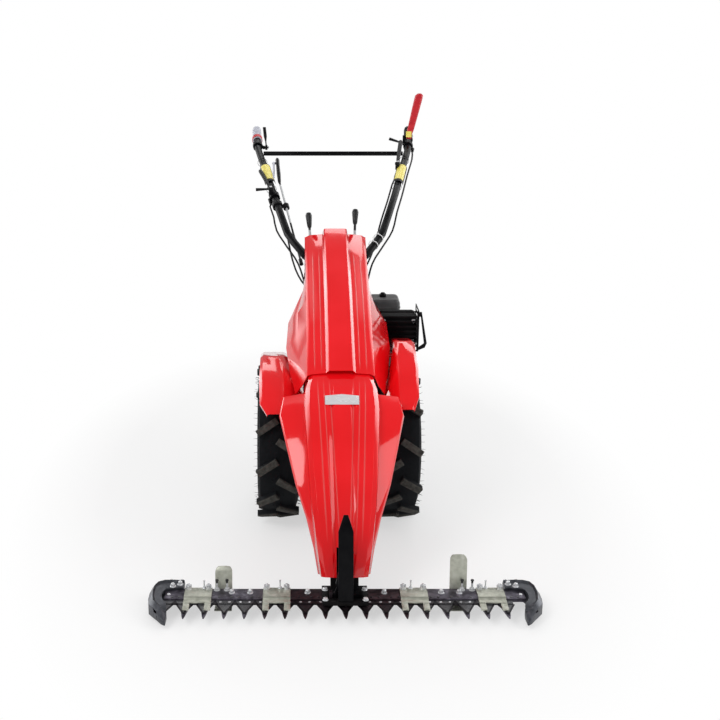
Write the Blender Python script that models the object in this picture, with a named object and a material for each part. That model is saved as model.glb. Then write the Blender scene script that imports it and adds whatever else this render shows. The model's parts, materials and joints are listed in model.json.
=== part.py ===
"""Walk-behind motor mower with a one metre finger bar.

Metres, +Z up. The cutter faces -Y and the handlebar trails towards +Y. Lengths along the machine
are measured back from the wheel axle, heights from the floor, and the whole machine is then
shifted so that the centre of its box stands over the origin.
"""
import math

import bmesh
import bpy
from mathutils import Matrix, Vector

# Clearances
FIT = 0.0003
RUNNING = 0.0006

# Wheels and axle
WHEEL_RADIUS = 0.230
TYRE_WIDTH = 0.117
TRACK_OVER_TYRES = 0.470
RIM_RADIUS = 0.127
RIM_WIDTH = 0.090
LUG_HEIGHT = 0.016
LUG_WIDTH = 0.020
LUG_COUNT = 12
LUG_ANGLE = math.radians(34)
TYRE_WALL = 0.009
AXLE_RADIUS = 0.0125
HUB_RADIUS = 0.032
WHEEL_SIDES = 24

# Gearbox and drive tube
GEARBOX_HALF_WIDTH = 0.072
GEARBOX_FRONT = -0.190
GEARBOX_BACK = 0.120
GEARBOX_BOTTOM = 0.165
GEARBOX_OVER_CRANK = 0.055
GEARBOX_LID = 0.010
AXLE_BOSS_RADIUS = 0.038
AXLE_BOSS_REACH = 0.112
DRIVE_AXIS_HEIGHT = 0.205
DRIVE_TUBE_RADIUS = 0.030
DRIVE_TUBE_BORE = 0.020
DRIVE_TUBE_FRONT = -0.468

# Cutter bar
BAR_LENGTH = 0.920
BAR_WIDTH = 0.052
BAR_THICKNESS = 0.010
BAR_TOP = 0.040
BAR_BACK = -0.582
FINGER_PITCH = 0.0508
FINGER_REACH = 0.078
FINGER_WIDTH = 0.022
FINGER_DEPTH = 0.016
KNIFE_STRIP = 0.016
KNIFE_THICKNESS = 0.0022
KNIFE_STRIP_THICKNESS = 0.005
SECTION_REACH = 0.058
ARM_LENGTH = 0.090
ARM_THICKNESS = 0.008
ARM_ROLLER_RADIUS = 0.007
ARM_PIN_RADIUS = 0.006
ARM_EYE_RADIUS = 0.013
ARM_NECK = 0.0068
HEAD_HALF_WIDTH = 0.036
FOOT_HALF_WIDTH = 0.058
FOOT_THICKNESS = 0.010
SHOE_BOTTOM = 0.010
SHOE_CAP = 0.007
SHOE_RIM_RISE = 0.006
SHOE_RIM_WIDTH = 0.012
SHOE_NOSE = 0.088
CLIP_WIDTH = 0.070
CLIP_THICKNESS = 0.004
CLIP_INNER = (-0.174, 0.177)
CLIP_FROM_END = (0.0822, 0.0832)
CLIP_PRONG = 0.016
SKID_WIDTH = 0.044
SKID_THICKNESS = 0.004
SKID_PLACES = (-0.311, 0.294)
SKID_HEIGHTS = (0.096, 0.129)
SKID_CORNER = 0.013
DIVIDER_WIDTH = 0.038
DIVIDER_THICKNESS = 0.005

# Hood
HOOD_WALL = 0.0025
RIDGE_HALF_WIDTH = 0.036
RIDGE_STEP = 0.011
CREASE_HALF_WIDTH = 0.094

# Mudguards
GUARD_WALL = 0.0025
GUARD_LIP = 0.014
GUARD_PATHS = {-1: [(-0.246, 0.400), (-0.214, 0.424), (-0.130, 0.468), (0.000, 0.494), (0.120, 0.472),
                    (0.200, 0.412)],
               1: [(-0.242, 0.412), (-0.212, 0.442), (-0.130, 0.500), (0.000, 0.540), (0.090, 0.524),
                   (0.138, 0.498)]}
GUARD_INNER = {-1: [(0.098, 0.040), (0.096, 0.040), (0.104, 0.034), (0.120, 0.022), (0.120, 0.024),
                    (0.124, 0.028)],
               1: [(0.118, 0.032), (0.120, 0.047), (0.138, 0.051), (0.161, 0.045), (0.161, 0.035),
                   (0.161, 0.020)]}
GUARD_CREST = {-1: 0.156, 1: 0.165}
GUARD_OUTER = {-1: [0.205, 0.226, 0.229, 0.229, 0.229, 0.222],
               1: [0.206, 0.220, 0.224, 0.224, 0.224, 0.220]}
GUARD_ARM_DROP = {-1: 0.028, 1: 0.042}

# Engine
CRANK_HEIGHT = 0.345
ENGINE_FRONT = 0.2153
CRANKCASE_LENGTH = 0.160
CRANK_SPACE_RADIUS = 0.082
CYLINDER_TILT = math.radians(20)
CYLINDER_START = 0.095
CYLINDER_LENGTH = 0.130
CYLINDER_HALF_HEIGHT = 0.060
CYLINDER_DEPTH = 0.090
FIN_COUNT = 7
VALVE_COVER_LENGTH = 0.026
BELL_RADIUS = 0.070
BELL_FLANGE_RADIUS = 0.088
FAN_RADIUS = 0.098
FAN_GROWTH = 0.018
FAN_DEPTH = 0.062

# Handlebar
TUBE_RADIUS = 0.0125
TUBE_WALL = 0.0022
CROSSBAR_RADIUS = 0.008
GRIP_RADIUS = 0.0155
GRIP_LENGTH = 0.114
GRIP_FLANGE = 0.022
TILT_BACK = 0.240
TILT_HEIGHT = 0.700
HUB_BARREL_RADIUS = 0.022
HUB_HALF_LENGTH = 0.028
CHEEK_THICKNESS = 0.008
COLUMN_WIDTH = 0.060
COLUMN_DEPTH = 0.034
SOCKET_REACH = 0.062
CABLE_RADIUS = 0.0030
GEAR_ROD_RADIUS = 0.004
KNOB_RADIUS = 0.0105
KNOB_LENGTH = 0.050

# Places that follow from the sizes above
TYRE_CENTRE = (TRACK_OVER_TYRES - TYRE_WIDTH) / 2
GEARBOX_TOP = CRANK_HEIGHT + GEARBOX_OVER_CRANK
BAR_FRONT = BAR_BACK - BAR_WIDTH
FINGER_COUNT = round(BAR_LENGTH / FINGER_PITCH) + 1
END_GUARD = (FINGER_COUNT - 1) / 2 * FINGER_PITCH
CLIP_PLACES = (CLIP_FROM_END[0] - END_GUARD, *CLIP_INNER, END_GUARD - CLIP_FROM_END[1])
BAR_BOTTOM = BAR_TOP - BAR_THICKNESS
FINGER_TIP = BAR_FRONT - FINGER_REACH
SHOE_TIP = BAR_FRONT - SHOE_NOSE
GRIP_END = 1.200
MACHINE_BACK = -(SHOE_TIP + GRIP_END) / 2


# Scene and materials

def clear_scene():
    for item in list(bpy.data.objects):
        bpy.data.objects.remove(item, do_unlink=True)


def painted(name, colour, roughness, metallic=0.0):
    material = bpy.data.materials.new(name)
    material.use_nodes = True
    shader = material.node_tree.nodes["Principled BSDF"]
    shader.inputs["Base Color"].default_value = (*colour, 1.0)
    shader.inputs["Roughness"].default_value = roughness
    shader.inputs["Metallic"].default_value = metallic
    return material


clear_scene()
RED = painted("red_hood_plastic", (0.72, 0.012, 0.02), 0.22)
RED_LEVER = painted("red_lever_plastic", (0.55, 0.02, 0.03), 0.4)
BLACK_PAINT = painted("black_painted_steel", (0.012, 0.012, 0.013), 0.4)
RUBBER = painted("tyre_rubber", (0.018, 0.018, 0.019), 0.85)
ALLOY = painted("cast_alloy", (0.36, 0.37, 0.38), 0.5, 0.8)
ZINC = painted("zinc_plated_steel", (0.62, 0.63, 0.60), 0.35, 0.9)
BLADE = painted("blade_steel", (0.10, 0.09, 0.10), 0.35, 0.8)
SHOE_IRON = painted("dark_cast_iron", (0.07, 0.08, 0.095), 0.5, 0.5)
GREY_PLASTIC = painted("grey_plastic", (0.12, 0.12, 0.125), 0.5)
BLACK_PLASTIC = painted("black_plastic", (0.015, 0.015, 0.016), 0.5)
PALE_PLASTIC = painted("pale_plastic", (0.55, 0.56, 0.6), 0.5)
SILVER = painted("badge_silver", (0.7, 0.7, 0.7), 0.3, 0.9)

MACHINE = bpy.data.objects.new("machine_origin", None)
MACHINE.location = (0.0, MACHINE_BACK, 0.0)
bpy.context.collection.objects.link(MACHINE)


# Modelling helpers

def add_object(name, bm, material, smooth_angle=None):
    """Turn a bmesh into an object of the machine, with its faces pointing out."""
    bmesh.ops.remove_doubles(bm, verts=bm.verts, dist=0.00002)
    bmesh.ops.recalc_face_normals(bm, faces=bm.faces)
    mesh = bpy.data.meshes.new(name)
    bm.to_mesh(mesh)
    bm.free()
    item = bpy.data.objects.new(name, mesh)
    bpy.context.collection.objects.link(item)
    item.parent = MACHINE
    mesh.materials.append(material)
    if smooth_angle is not None:
        mesh.shade_smooth()
        mesh.set_sharp_from_angle(angle=math.radians(smooth_angle))
    return item


def set_pivot(item, pivot):
    """Move the object's origin to its joint without moving the shape."""
    shift = Vector(pivot) - item.location
    item.data.transform(Matrix.Translation(-shift))
    item.location = Vector(pivot)


def loft(rings, closed=True, caps=True):
    """Skin a list of equal rings of points."""
    bm = bmesh.new()
    rows = [[bm.verts.new(point) for point in ring] for ring in rings]
    count = len(rows[0])
    last = count if closed else count - 1
    for lower, upper in zip(rows, rows[1:]):
        for i in range(last):
            j = (i + 1) % count
            bm.faces.new((lower[i], lower[j], upper[j], upper[i]))
    if caps:
        bm.faces.new(list(reversed(rows[0])))
        bm.faces.new(rows[-1])
    return bm


def prism(outline, placed, start, end):
    """Extrude a flat outline: placed(u, v, w) gives a point of the machine."""
    rings = [[placed(u, v, w) for u, v in outline] for w in (start, end)]
    return loft(rings)


def in_yz(u, v, w):
    return Vector((w, u, v))


def in_xz(u, v, w):
    return Vector((u, w, v))


def in_xy(u, v, w):
    return Vector((u, v, w))


def box(low, high):
    outline = [(low[0], low[1]), (high[0], low[1]), (high[0], high[1]), (low[0], high[1])]
    return prism(outline, in_xy, low[2], high[2])


def basis(direction, hint=(0, 0, 1)):
    """Two directions square to the given one."""
    along = Vector(direction).normalized()
    side = along.cross(Vector(hint))
    if side.length < 0.001:
        side = along.cross(Vector((1, 0, 0)))
    side.normalize()
    return along, side, side.cross(along).normalized()


def circle(radius, sides, turn=0.0):
    angles = [turn + 2 * math.pi * i / sides for i in range(sides)]
    return [(radius * math.cos(a), radius * math.sin(a)) for a in angles]


def rod(start, end, radius, sides=12, end_radius=None):
    """A round bar, or a cone, between two points."""
    start, end = Vector(start), Vector(end)
    along, side, up = basis(end - start)
    rings = []
    for centre, size in ((start, radius), (end, end_radius or radius)):
        rings.append([centre + side * u + up * v for u, v in circle(size, sides)])
    return loft(rings)


def turned(profile, centre, direction, sides, closed=False):
    """Turn a profile of (radius, distance) points round an axis."""
    centre = Vector(centre)
    along, side, up = basis(direction)
    bm = bmesh.new()
    points = [bm.verts.new(centre + side * r + along * d) for r, d in profile]
    edges = [bm.edges.new(pair) for pair in zip(points, points[1:])]
    if closed:
        edges.append(bm.edges.new((points[-1], points[0])))
    bmesh.ops.spin(bm, geom=points + edges, cent=centre, axis=along, dvec=(0, 0, 0),
                   angle=2 * math.pi, steps=sides, use_merge=True, use_duplicate=False)
    bmesh.ops.remove_doubles(bm, verts=bm.verts, dist=0.00002)
    return bm


def smooth_route(points, step):
    """Points at an even step on a smooth curve through the given ones."""
    pts = [Vector(p) for p in points]
    pts = [2 * pts[0] - pts[1]] + pts + [2 * pts[-1] - pts[-2]]
    route = []
    for a, b, c, d in zip(pts, pts[1:], pts[2:], pts[3:]):
        pieces = max(1, round((c - b).length / step))
        for i in range(pieces):
            t = i / pieces
            route.append(0.5 * (2 * b + (c - a) * t + (2 * a - 5 * b + 4 * c - d) * t * t
                                + (3 * b - a - 3 * c + d) * t ** 3))
    route.append(pts[-2])
    return route


def sweep_rings(route, section, hint=(0, 0, 1)):
    """Rings of a section carried along a route without twisting."""
    rings = []
    for i, centre in enumerate(route):
        before = route[max(i - 1, 0)]
        after = route[min(i + 1, len(route) - 1)]
        along, side, up = basis(after - before, hint)
        rings.append([centre + side * u + up * v for u, v in section])
    return rings


def swept(route, section, hint=(0, 0, 1)):
    return loft(sweep_rings(route, section, hint))


def pipe(route, radius, wall, sides):
    """A hollow tube along a route."""
    outer = sweep_rings(route, circle(radius, sides))
    inner = sweep_rings(route, circle(radius - wall, sides))
    bm = bmesh.new()
    rows = []
    for outside, inside in zip(outer, inner):
        rows.append(([bm.verts.new(p) for p in outside], [bm.verts.new(p) for p in inside]))
    for (out_a, in_a), (out_b, in_b) in zip(rows, rows[1:]):
        for i in range(sides):
            j = (i + 1) % sides
            bm.faces.new((out_a[i], out_a[j], out_b[j], out_b[i]))
            bm.faces.new((in_a[j], in_a[i], in_b[i], in_b[j]))
    for outside, inside in (rows[0], rows[-1]):
        for i in range(sides):
            j = (i + 1) % sides
            bm.faces.new((outside[i], outside[j], inside[j], inside[i]))
    return bm


def merged(*pieces):
    """Several bmeshes in one."""
    bm = bmesh.new()
    for piece in pieces:
        mesh = bpy.data.meshes.new("merge")
        piece.to_mesh(mesh)
        piece.free()
        bm.from_mesh(mesh)
        bpy.data.meshes.remove(mesh)
    return bm


def shape_with(item, bm, operation):
    """Join a hidden tool shape to an object, or cut it away."""
    bmesh.ops.recalc_face_normals(bm, faces=bm.faces)
    mesh = bpy.data.meshes.new(item.name + "_tool")
    bm.to_mesh(mesh)
    bm.free()
    tool = bpy.data.objects.new(item.name + "_tool", mesh)
    bpy.context.collection.objects.link(tool)
    tool.parent = MACHINE
    tool.hide_render = True
    tool.display_type = "WIRE"
    modifier = item.modifiers.new(operation.lower(), "BOOLEAN")
    modifier.operation = operation
    modifier.object = tool
    modifier.use_self = operation == "UNION"
    return tool


def join(item, bm):
    shape_with(item, bm, "UNION")


def cut(item, bm):
    shape_with(item, bm, "DIFFERENCE")


def round_edges(item, width, segments=2, angle=40):
    modifier = item.modifiers.new("round_edges", "BEVEL")
    modifier.width = width
    modifier.segments = segments
    modifier.limit_method = "ANGLE"
    modifier.angle_limit = math.radians(angle)


def thicken(item, wall):
    modifier = item.modifiers.new("wall", "SOLIDIFY")
    modifier.thickness = wall
    modifier.offset = -1.0
    modifier.use_even_offset = True


# Wheels

def tyre_profile():
    """Half of the tyre's section, as (radius, distance from the wheel's middle)."""
    carcass = WHEEL_RADIUS - LUG_HEIGHT
    half = TYRE_WIDTH / 2
    bead = RIM_WIDTH / 2 - FIT
    outer = [(RIM_RADIUS + FIT, bead), (RIM_RADIUS + 0.013, bead), (RIM_RADIUS + 0.030, half - 0.003),
             (carcass - 0.034, half), (carcass - 0.010, half - 0.008), (carcass, half * 0.45)]
    inner = [(carcass - TYRE_WALL, half * 0.45), (carcass - 0.030, half - TYRE_WALL - 0.003),
             (RIM_RADIUS + 0.030, half - TYRE_WALL - 0.003), (RIM_RADIUS + FIT, bead - TYRE_WALL)]
    return outer, inner


def make_tyre(name, side):
    centre = Vector((side * TYRE_CENTRE, 0, WHEEL_RADIUS))
    outer, inner = tyre_profile()
    loop = [(r, d) for r, d in outer]
    loop += [(r, -d) for r, d in reversed(outer)]
    loop += [(r, -d) for r, d in reversed(inner)]
    loop += [(r, d) for r, d in inner]
    tyre = add_object(name, turned(loop, centre, (1, 0, 0), WHEEL_SIDES, closed=True), RUBBER, 35)
    lugs = []
    carcass = WHEEL_RADIUS - LUG_HEIGHT
    length = TYRE_WIDTH / 2 + 0.010
    for i in range(2 * LUG_COUNT):
        hand = 1 if i % 2 else -1
        lug = box((-length / 2, -LUG_WIDTH / 2, carcass - 0.006), (length / 2, LUG_WIDTH / 2, WHEEL_RADIUS))
        low = [v for v in lug.verts if v.co.x * hand > 0 and v.co.z > carcass]
        bmesh.ops.translate(lug, verts=low, vec=(0, 0, -0.002))
        turn = Matrix.Rotation(-hand * LUG_ANGLE, 4, "Z")
        shift = Matrix.Translation((hand * (TYRE_WIDTH / 4 - 0.001), 0, 0))
        lug.transform(shift @ turn)
        around = Matrix.Rotation(math.pi + math.pi * i / LUG_COUNT, 4, "X")
        lug.transform(Matrix.Translation(centre) @ around)
        lugs.append(lug)
    join(tyre, merged(*lugs))
    return tyre


def make_rim(name, side):
    """Pressed rim with a coned disc and a welded hub."""
    half = RIM_WIDTH / 2
    bore = AXLE_RADIUS + FIT
    wall = 0.004
    loop = [(bore, -0.030), (bore, 0.028), (HUB_RADIUS, 0.028), (RIM_RADIUS - wall, 0.014),
            (RIM_RADIUS - wall, half + 0.003), (RIM_RADIUS + 0.012, half + 0.003),
            (RIM_RADIUS, half), (RIM_RADIUS, -half), (RIM_RADIUS + 0.012, -half - 0.003),
            (RIM_RADIUS - wall, -half - 0.003), (RIM_RADIUS - wall, 0.008), (HUB_RADIUS, 0.018),
            (HUB_RADIUS, -0.030)]
    centre = (side * TYRE_CENTRE, 0, WHEEL_RADIUS)
    return add_object(name, turned(loop, centre, (side, 0, 0), WHEEL_SIDES, closed=True), ALLOY, 35)


def make_wheels():
    reach = TYRE_CENTRE + 0.040
    add_object("axle", rod((-reach, 0, WHEEL_RADIUS), (reach, 0, WHEEL_RADIUS), AXLE_RADIUS,
                           WHEEL_SIDES), ZINC, 35)
    for name, side in (("left", -1), ("right", 1)):
        make_tyre("tyre_" + name, side)
        make_rim("rim_" + name, side)


# Gearbox, bell housing and drive tube

ROD_FEET = {-1: Vector((-0.0520, 0.085, GEARBOX_TOP + GEARBOX_LID)),
            1: Vector((0.0500, 0.085, GEARBOX_TOP + GEARBOX_LID))}
ROD_BENDS = {-1: (Vector((-0.0577, 0.145, 0.490)), Vector((-0.0684, 0.298, 0.640))),
             1: (Vector((0.0530, 0.145, 0.490)), Vector((0.0584, 0.298, 0.640)))}
ROD_TOPS = {-1: Vector((-0.0830, 0.412, 0.846)), 1: Vector((0.0660, 0.409, 0.858))}
ROD_DEPTH = 0.032
SELECTOR_RADIUS = 0.013
SELECTOR_HEIGHT = 0.040


def rod_direction(side):
    return (ROD_BENDS[side][0] - ROD_FEET[side]).normalized()


def make_gearbox():
    low = (-GEARBOX_HALF_WIDTH, GEARBOX_FRONT, GEARBOX_BOTTOM)
    high = (GEARBOX_HALF_WIDTH, GEARBOX_BACK, GEARBOX_TOP)
    gearbox = add_object("gearbox", box(low, high), BLACK_PAINT)
    round_edges(gearbox, 0.014, 1)
    edge = 0.006
    lid = box((-GEARBOX_HALF_WIDTH + edge, GEARBOX_FRONT + edge, GEARBOX_TOP - 0.03),
              (GEARBOX_HALF_WIDTH - edge, GEARBOX_BACK - edge, GEARBOX_TOP + GEARBOX_LID))
    bosses = rod((-AXLE_BOSS_REACH, 0, WHEEL_RADIUS), (AXLE_BOSS_REACH, 0, WHEEL_RADIUS),
                 AXLE_BOSS_RADIUS, 20)
    nose = rod((0, GEARBOX_FRONT - 0.012, DRIVE_AXIS_HEIGHT), (0, -0.03, DRIVE_AXIS_HEIGHT), 0.037, 20)
    pad = rod((0, 0.03, CRANK_HEIGHT), (0, GEARBOX_BACK + 0.004, CRANK_HEIGHT), 0.050, 20)
    join(gearbox, lid)
    join(gearbox, bosses)
    join(gearbox, nose)
    join(gearbox, pad)
    for side in (-1, 1):
        along = rod_direction(side)
        foot = ROD_FEET[side]
        join(gearbox, rod(foot - along * 0.02, foot + along * SELECTOR_HEIGHT, SELECTOR_RADIUS, 12))
        cut(gearbox, rod(foot - along * ROD_DEPTH, foot + along * 0.08, GEAR_ROD_RADIUS + FIT, 10))
    reach = AXLE_BOSS_REACH + 0.01
    cut(gearbox, rod((-reach, 0, WHEEL_RADIUS), (reach, 0, WHEEL_RADIUS), AXLE_RADIUS + FIT,
                     WHEEL_SIDES))
    return gearbox


def make_bell_housing():
    start = GEARBOX_BACK + 0.004 + FIT
    end = ENGINE_FRONT - FIT
    profile = [(0.0, start), (0.052, start), (0.052, start + 0.010), (BELL_RADIUS, start + 0.036),
               (BELL_RADIUS, end - 0.012), (BELL_FLANGE_RADIUS, end - 0.012), (BELL_FLANGE_RADIUS, end),
               (BELL_RADIUS - 0.012, end), (BELL_RADIUS - 0.012, start + 0.038), (0.044, start + 0.014),
               (0.0, start + 0.014)]
    return add_object("bell_housing", turned(profile, (0, 0, CRANK_HEIGHT), (0, 1, 0), 24), ALLOY, 35)


def make_drive_tube():
    back = GEARBOX_FRONT - 0.012 - FIT
    profile = [(DRIVE_TUBE_BORE, 0), (0.044, 0), (0.044, 0.010), (DRIVE_TUBE_RADIUS, 0.010)]
    length = back - DRIVE_TUBE_FRONT
    profile += [(DRIVE_TUBE_RADIUS, length - 0.010), (0.044, length - 0.010), (0.044, length),
                (DRIVE_TUBE_BORE, length)]
    return add_object("drive_tube", turned(profile, (0, back, DRIVE_AXIS_HEIGHT), (0, -1, 0), 20,
                                           closed=True), BLACK_PAINT, 35)


# Cutter bar

HEAD_BACK = DRIVE_TUBE_FRONT - RUNNING
STRIP_BACK = BAR_FRONT - RUNNING
STRIP_FRONT = STRIP_BACK - KNIFE_STRIP
ARM_PLANE = (STRIP_BACK + STRIP_FRONT) / 2
ARM_SWING = math.asin(FINGER_PITCH / 2 / ARM_LENGTH)
ROLLER_HEIGHT = BAR_TOP + 0.016
ARM_PIVOT = Vector((0, ARM_PLANE, ROLLER_HEIGHT + ARM_LENGTH * math.cos(ARM_SWING)))
HEAD_FRONT = BAR_FRONT + 0.052
FOOT_BOTTOM = BAR_TOP + FIT
FOOT_TOP = FOOT_BOTTOM + FOOT_THICKNESS
FOOT_FRONT = STRIP_FRONT - 0.022
FORK_HALF_WIDTH = ARM_ROLLER_RADIUS + FIT + 0.008
DIVIDER_FOOT = FOOT_FRONT + 0.004
DIVIDER_PATH = [(DIVIDER_FOOT, FOOT_TOP + FIT), (DIVIDER_FOOT + 0.004, 0.140), (DIVIDER_FOOT + 0.048, 0.265)]


def make_drive_head():
    """Cast housing that carries the bar, turns on the drive tube and holds the knife arm."""
    axis = DRIVE_AXIS_HEIGHT
    side_view = [(HEAD_BACK, axis - 0.044), (HEAD_BACK, axis + 0.026), (HEAD_BACK - 0.040, axis + 0.022),
                 (HEAD_FRONT + 0.004, ARM_PIVOT.z + 0.012), (HEAD_FRONT - 0.002, ARM_PIVOT.z - 0.018),
                 (BAR_BACK - 0.022, FOOT_TOP + 0.010), (BAR_BACK - 0.022, FOOT_TOP - 0.004),
                 (BAR_BACK, FOOT_TOP - 0.004), (BAR_BACK + 0.012, FOOT_TOP + 0.012)]
    head = add_object("drive_head", prism(side_view, in_yz, -HEAD_HALF_WIDTH, HEAD_HALF_WIDTH),
                      BLACK_PAINT, 30)
    round_edges(head, 0.004, 1)
    half = FOOT_HALF_WIDTH
    join(head, box((-half, FOOT_FRONT, FOOT_BOTTOM), (half, BAR_BACK - 0.002, FOOT_TOP)))
    join(head, rod((0, HEAD_BACK + 0.0001, axis), (0, HEAD_BACK - 0.014, axis), 0.044, 20))
    join(head, rod((0, HEAD_BACK + 0.030, axis), (0, HEAD_BACK - 0.02, axis), DRIVE_TUBE_BORE - RUNNING, 20))
    collar = Vector((0, ARM_THICKNESS / 2 + FIT, 0))
    join(head, rod(ARM_PIVOT + Vector((0, 0.075, 0)), ARM_PIVOT + collar, ARM_EYE_RADIUS, 16))
    join(head, rod(ARM_PIVOT + Vector((0, 0.03, 0)), ARM_PIVOT - collar, ARM_PIN_RADIUS, 14))
    sweep = FINGER_PITCH / 2 + FORK_HALF_WIDTH + 0.002
    cut(head, box((-sweep, STRIP_FRONT - 0.002, 0.0), (sweep, STRIP_BACK + 0.001, FOOT_TOP + 0.002)))
    return head


def strip_outline(path, thickness):
    """Closed outline of a bent flat strip whose middle follows the path."""
    left, right = [], []
    for i, point in enumerate(path):
        here = Vector(point)
        ahead = (Vector(path[min(i + 1, len(path) - 1)]) - here)
        behind = (here - Vector(path[max(i - 1, 0)]))
        ahead = (ahead if ahead.length else behind).normalized()
        behind = (behind if behind.length else ahead).normalized()
        normal = Vector((-(ahead.y + behind.y), ahead.x + behind.x)).normalized()
        reach = thickness / 2 / max(0.5, normal.dot(Vector((-ahead.y, ahead.x))))
        left.append(tuple(here + normal * reach))
        right.append(tuple(here - normal * reach))
    return left + list(reversed(right))


def make_grass_divider():
    """Bent strip in front of the knife arm, pointed at its top."""
    half = DIVIDER_WIDTH / 2
    divider = add_object("grass_divider", prism(strip_outline(DIVIDER_PATH, DIVIDER_THICKNESS),
                                                in_yz, -half, half), BLACK_PAINT)
    top = DIVIDER_PATH[-1][1] + 0.01
    low = top - 0.055
    for side in (-1, 1):
        corner = [(side * 0.002, top), (side * (half + 0.002), top), (side * (half + 0.002), low)]
        cut(divider, prism(corner, in_xz, DIVIDER_FOOT - 0.02, DIVIDER_FOOT + 0.09))
    return divider


def finger_outline():
    """Half outline of a finger seen from above, tip first, as (x, y)."""
    half = FINGER_WIDTH / 2
    base = BAR_FRONT + 0.020
    return [(0.0012, FINGER_TIP), (0.0045, FINGER_TIP + 0.016), (half * 0.8, FINGER_TIP + 0.050),
            (half, BAR_FRONT - 0.006), (half, base)]


def make_finger_bar():
    half = BAR_LENGTH / 2
    bar = add_object("finger_bar", box((-half, BAR_FRONT, BAR_BOTTOM), (half, BAR_BACK, BAR_TOP)), BLADE)
    fingers = []
    outline = finger_outline()
    for i in range(1, FINGER_COUNT - 1):
        x = (i - (FINGER_COUNT - 1) / 2) * FINGER_PITCH
        rings = []
        for px, py in outline:
            share = min(1.0, (py - FINGER_TIP) / FINGER_REACH)
            top = BAR_BOTTOM - 0.004 * (1 - share) if share < 0.99 else BAR_BOTTOM + 0.001
            bottom = BAR_BOTTOM - FINGER_DEPTH * (0.55 + 0.45 * share)
            rings.append([Vector((x + s * px, py, z)) for s, z in
                          ((-1, bottom + 0.004), (1, bottom + 0.004), (1, top), (-1, top))])
        fingers.append(loft(rings))
    join(bar, merged(*fingers))
    return bar


KNIFE_BOTTOM = BAR_BOTTOM + FIT
KNIFE_SHIFT = -FINGER_PITCH / 2


def make_knife():
    """Strip with triangular sections, at the left end of its stroke, and the driving fork."""
    count = FINGER_COUNT - 1
    half = count * FINGER_PITCH / 2 - 0.007
    tip = BAR_FRONT - SECTION_REACH
    inside = STRIP_FRONT + 0.004
    outline = [(KNIFE_SHIFT - half + 0.002, inside), (KNIFE_SHIFT + half - 0.002, inside)]
    for i in reversed(range(count)):
        x = (i - (count - 1) / 2) * FINGER_PITCH + KNIFE_SHIFT
        outline += [(x + FINGER_PITCH * 0.44, STRIP_FRONT), (x + 0.004, tip), (x - 0.004, tip),
                    (x - FINGER_PITCH * 0.44, STRIP_FRONT)]
    top = KNIFE_BOTTOM + KNIFE_STRIP_THICKNESS
    knife = add_object("knife", box((KNIFE_SHIFT - half, STRIP_FRONT, KNIFE_BOTTOM),
                                    (KNIFE_SHIFT + half, STRIP_BACK, top)), BLADE)
    join(knife, prism(outline, in_xy, KNIFE_BOTTOM + 0.0004, KNIFE_BOTTOM + KNIFE_THICKNESS))
    x = KNIFE_SHIFT
    slot = ARM_ROLLER_RADIUS + FIT
    low = KNIFE_BOTTOM + 0.002
    fork_top = ROLLER_HEIGHT + ARM_ROLLER_RADIUS + 0.002
    floor = ROLLER_HEIGHT - ARM_ROLLER_RADIUS - 0.006
    fork = [(x - FORK_HALF_WIDTH, low), (x + FORK_HALF_WIDTH, low), (x + FORK_HALF_WIDTH, fork_top),
            (x + slot, fork_top), (x + slot, floor), (x - slot, floor), (x - slot, fork_top),
            (x - FORK_HALF_WIDTH, fork_top)]
    join(knife, prism(fork, in_xz, STRIP_FRONT + 0.001, STRIP_BACK - 0.001))
    return knife


def make_knife_arm():
    """Swinging arm, drawn upright about its pivot and leant to the left end of the stroke."""
    neck = ARM_NECK / 2
    outline = []
    for i in range(9):
        a = math.radians(-20 + 220 * i / 8)
        outline.append((ARM_EYE_RADIUS * math.cos(a), ARM_EYE_RADIUS * math.sin(a)))
    outline += [(-0.008, -ARM_LENGTH + 0.030), (-neck, -ARM_LENGTH + 0.020)]
    for i in range(9):
        a = math.radians(120 + 300 * i / 8)
        outline.append((ARM_ROLLER_RADIUS * math.cos(a), -ARM_LENGTH + ARM_ROLLER_RADIUS * math.sin(a)))
    outline += [(neck, -ARM_LENGTH + 0.020), (0.008, -ARM_LENGTH + 0.030)]
    half = ARM_THICKNESS / 2
    arm = add_object("knife_arm", prism(outline, in_xz, -half, half), BLACK_PAINT, 35)
    arm.location = ARM_PIVOT
    arm.rotation_euler = (0, ARM_SWING, 0)
    reach = Vector((0, 0.02, 0))
    cut(arm, rod(ARM_PIVOT + reach, ARM_PIVOT - reach, ARM_PIN_RADIUS + FIT, 14))
    return arm


def arc_points(centre, radius_x, radius_y, start, end, steps):
    """Points of an elliptic arc, angles in degrees."""
    points = []
    for i in range(steps + 1):
        a = math.radians(start + (end - start) * i / steps)
        points.append((centre[0] + radius_x * math.cos(a), centre[1] + radius_y * math.sin(a)))
    return points


# The end shoe from above, from the last finger's place and the bar's front edge: outer and inner side
SHOE_PLAN = [((-0.0432, 0.0860), (-0.0432, 0.0460)), ((-0.0172, 0.0885), (-0.0172, 0.0440)),
             ((0.0088, 0.0875), (0.0008, 0.0400)), ((0.0288, 0.0780), (0.0060, 0.0320)),
             ((0.0393, 0.0560), (0.0090, 0.0200)), ((0.0433, 0.0280), (0.0096, 0.0060)),
             ((0.0433, 0.0000), (0.0080, -0.0080)), ((0.0398, -0.0270), (0.0038, -0.0190)),
             ((0.0273, -0.0450), (-0.0057, -0.0340)), ((0.0146, -0.0630), (-0.0082, -0.0520)),
             ((0.0035, -0.0800), (-0.0082, -0.0710)), ((-0.0057, -0.0880), (-0.0077, -0.0865))]


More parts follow.
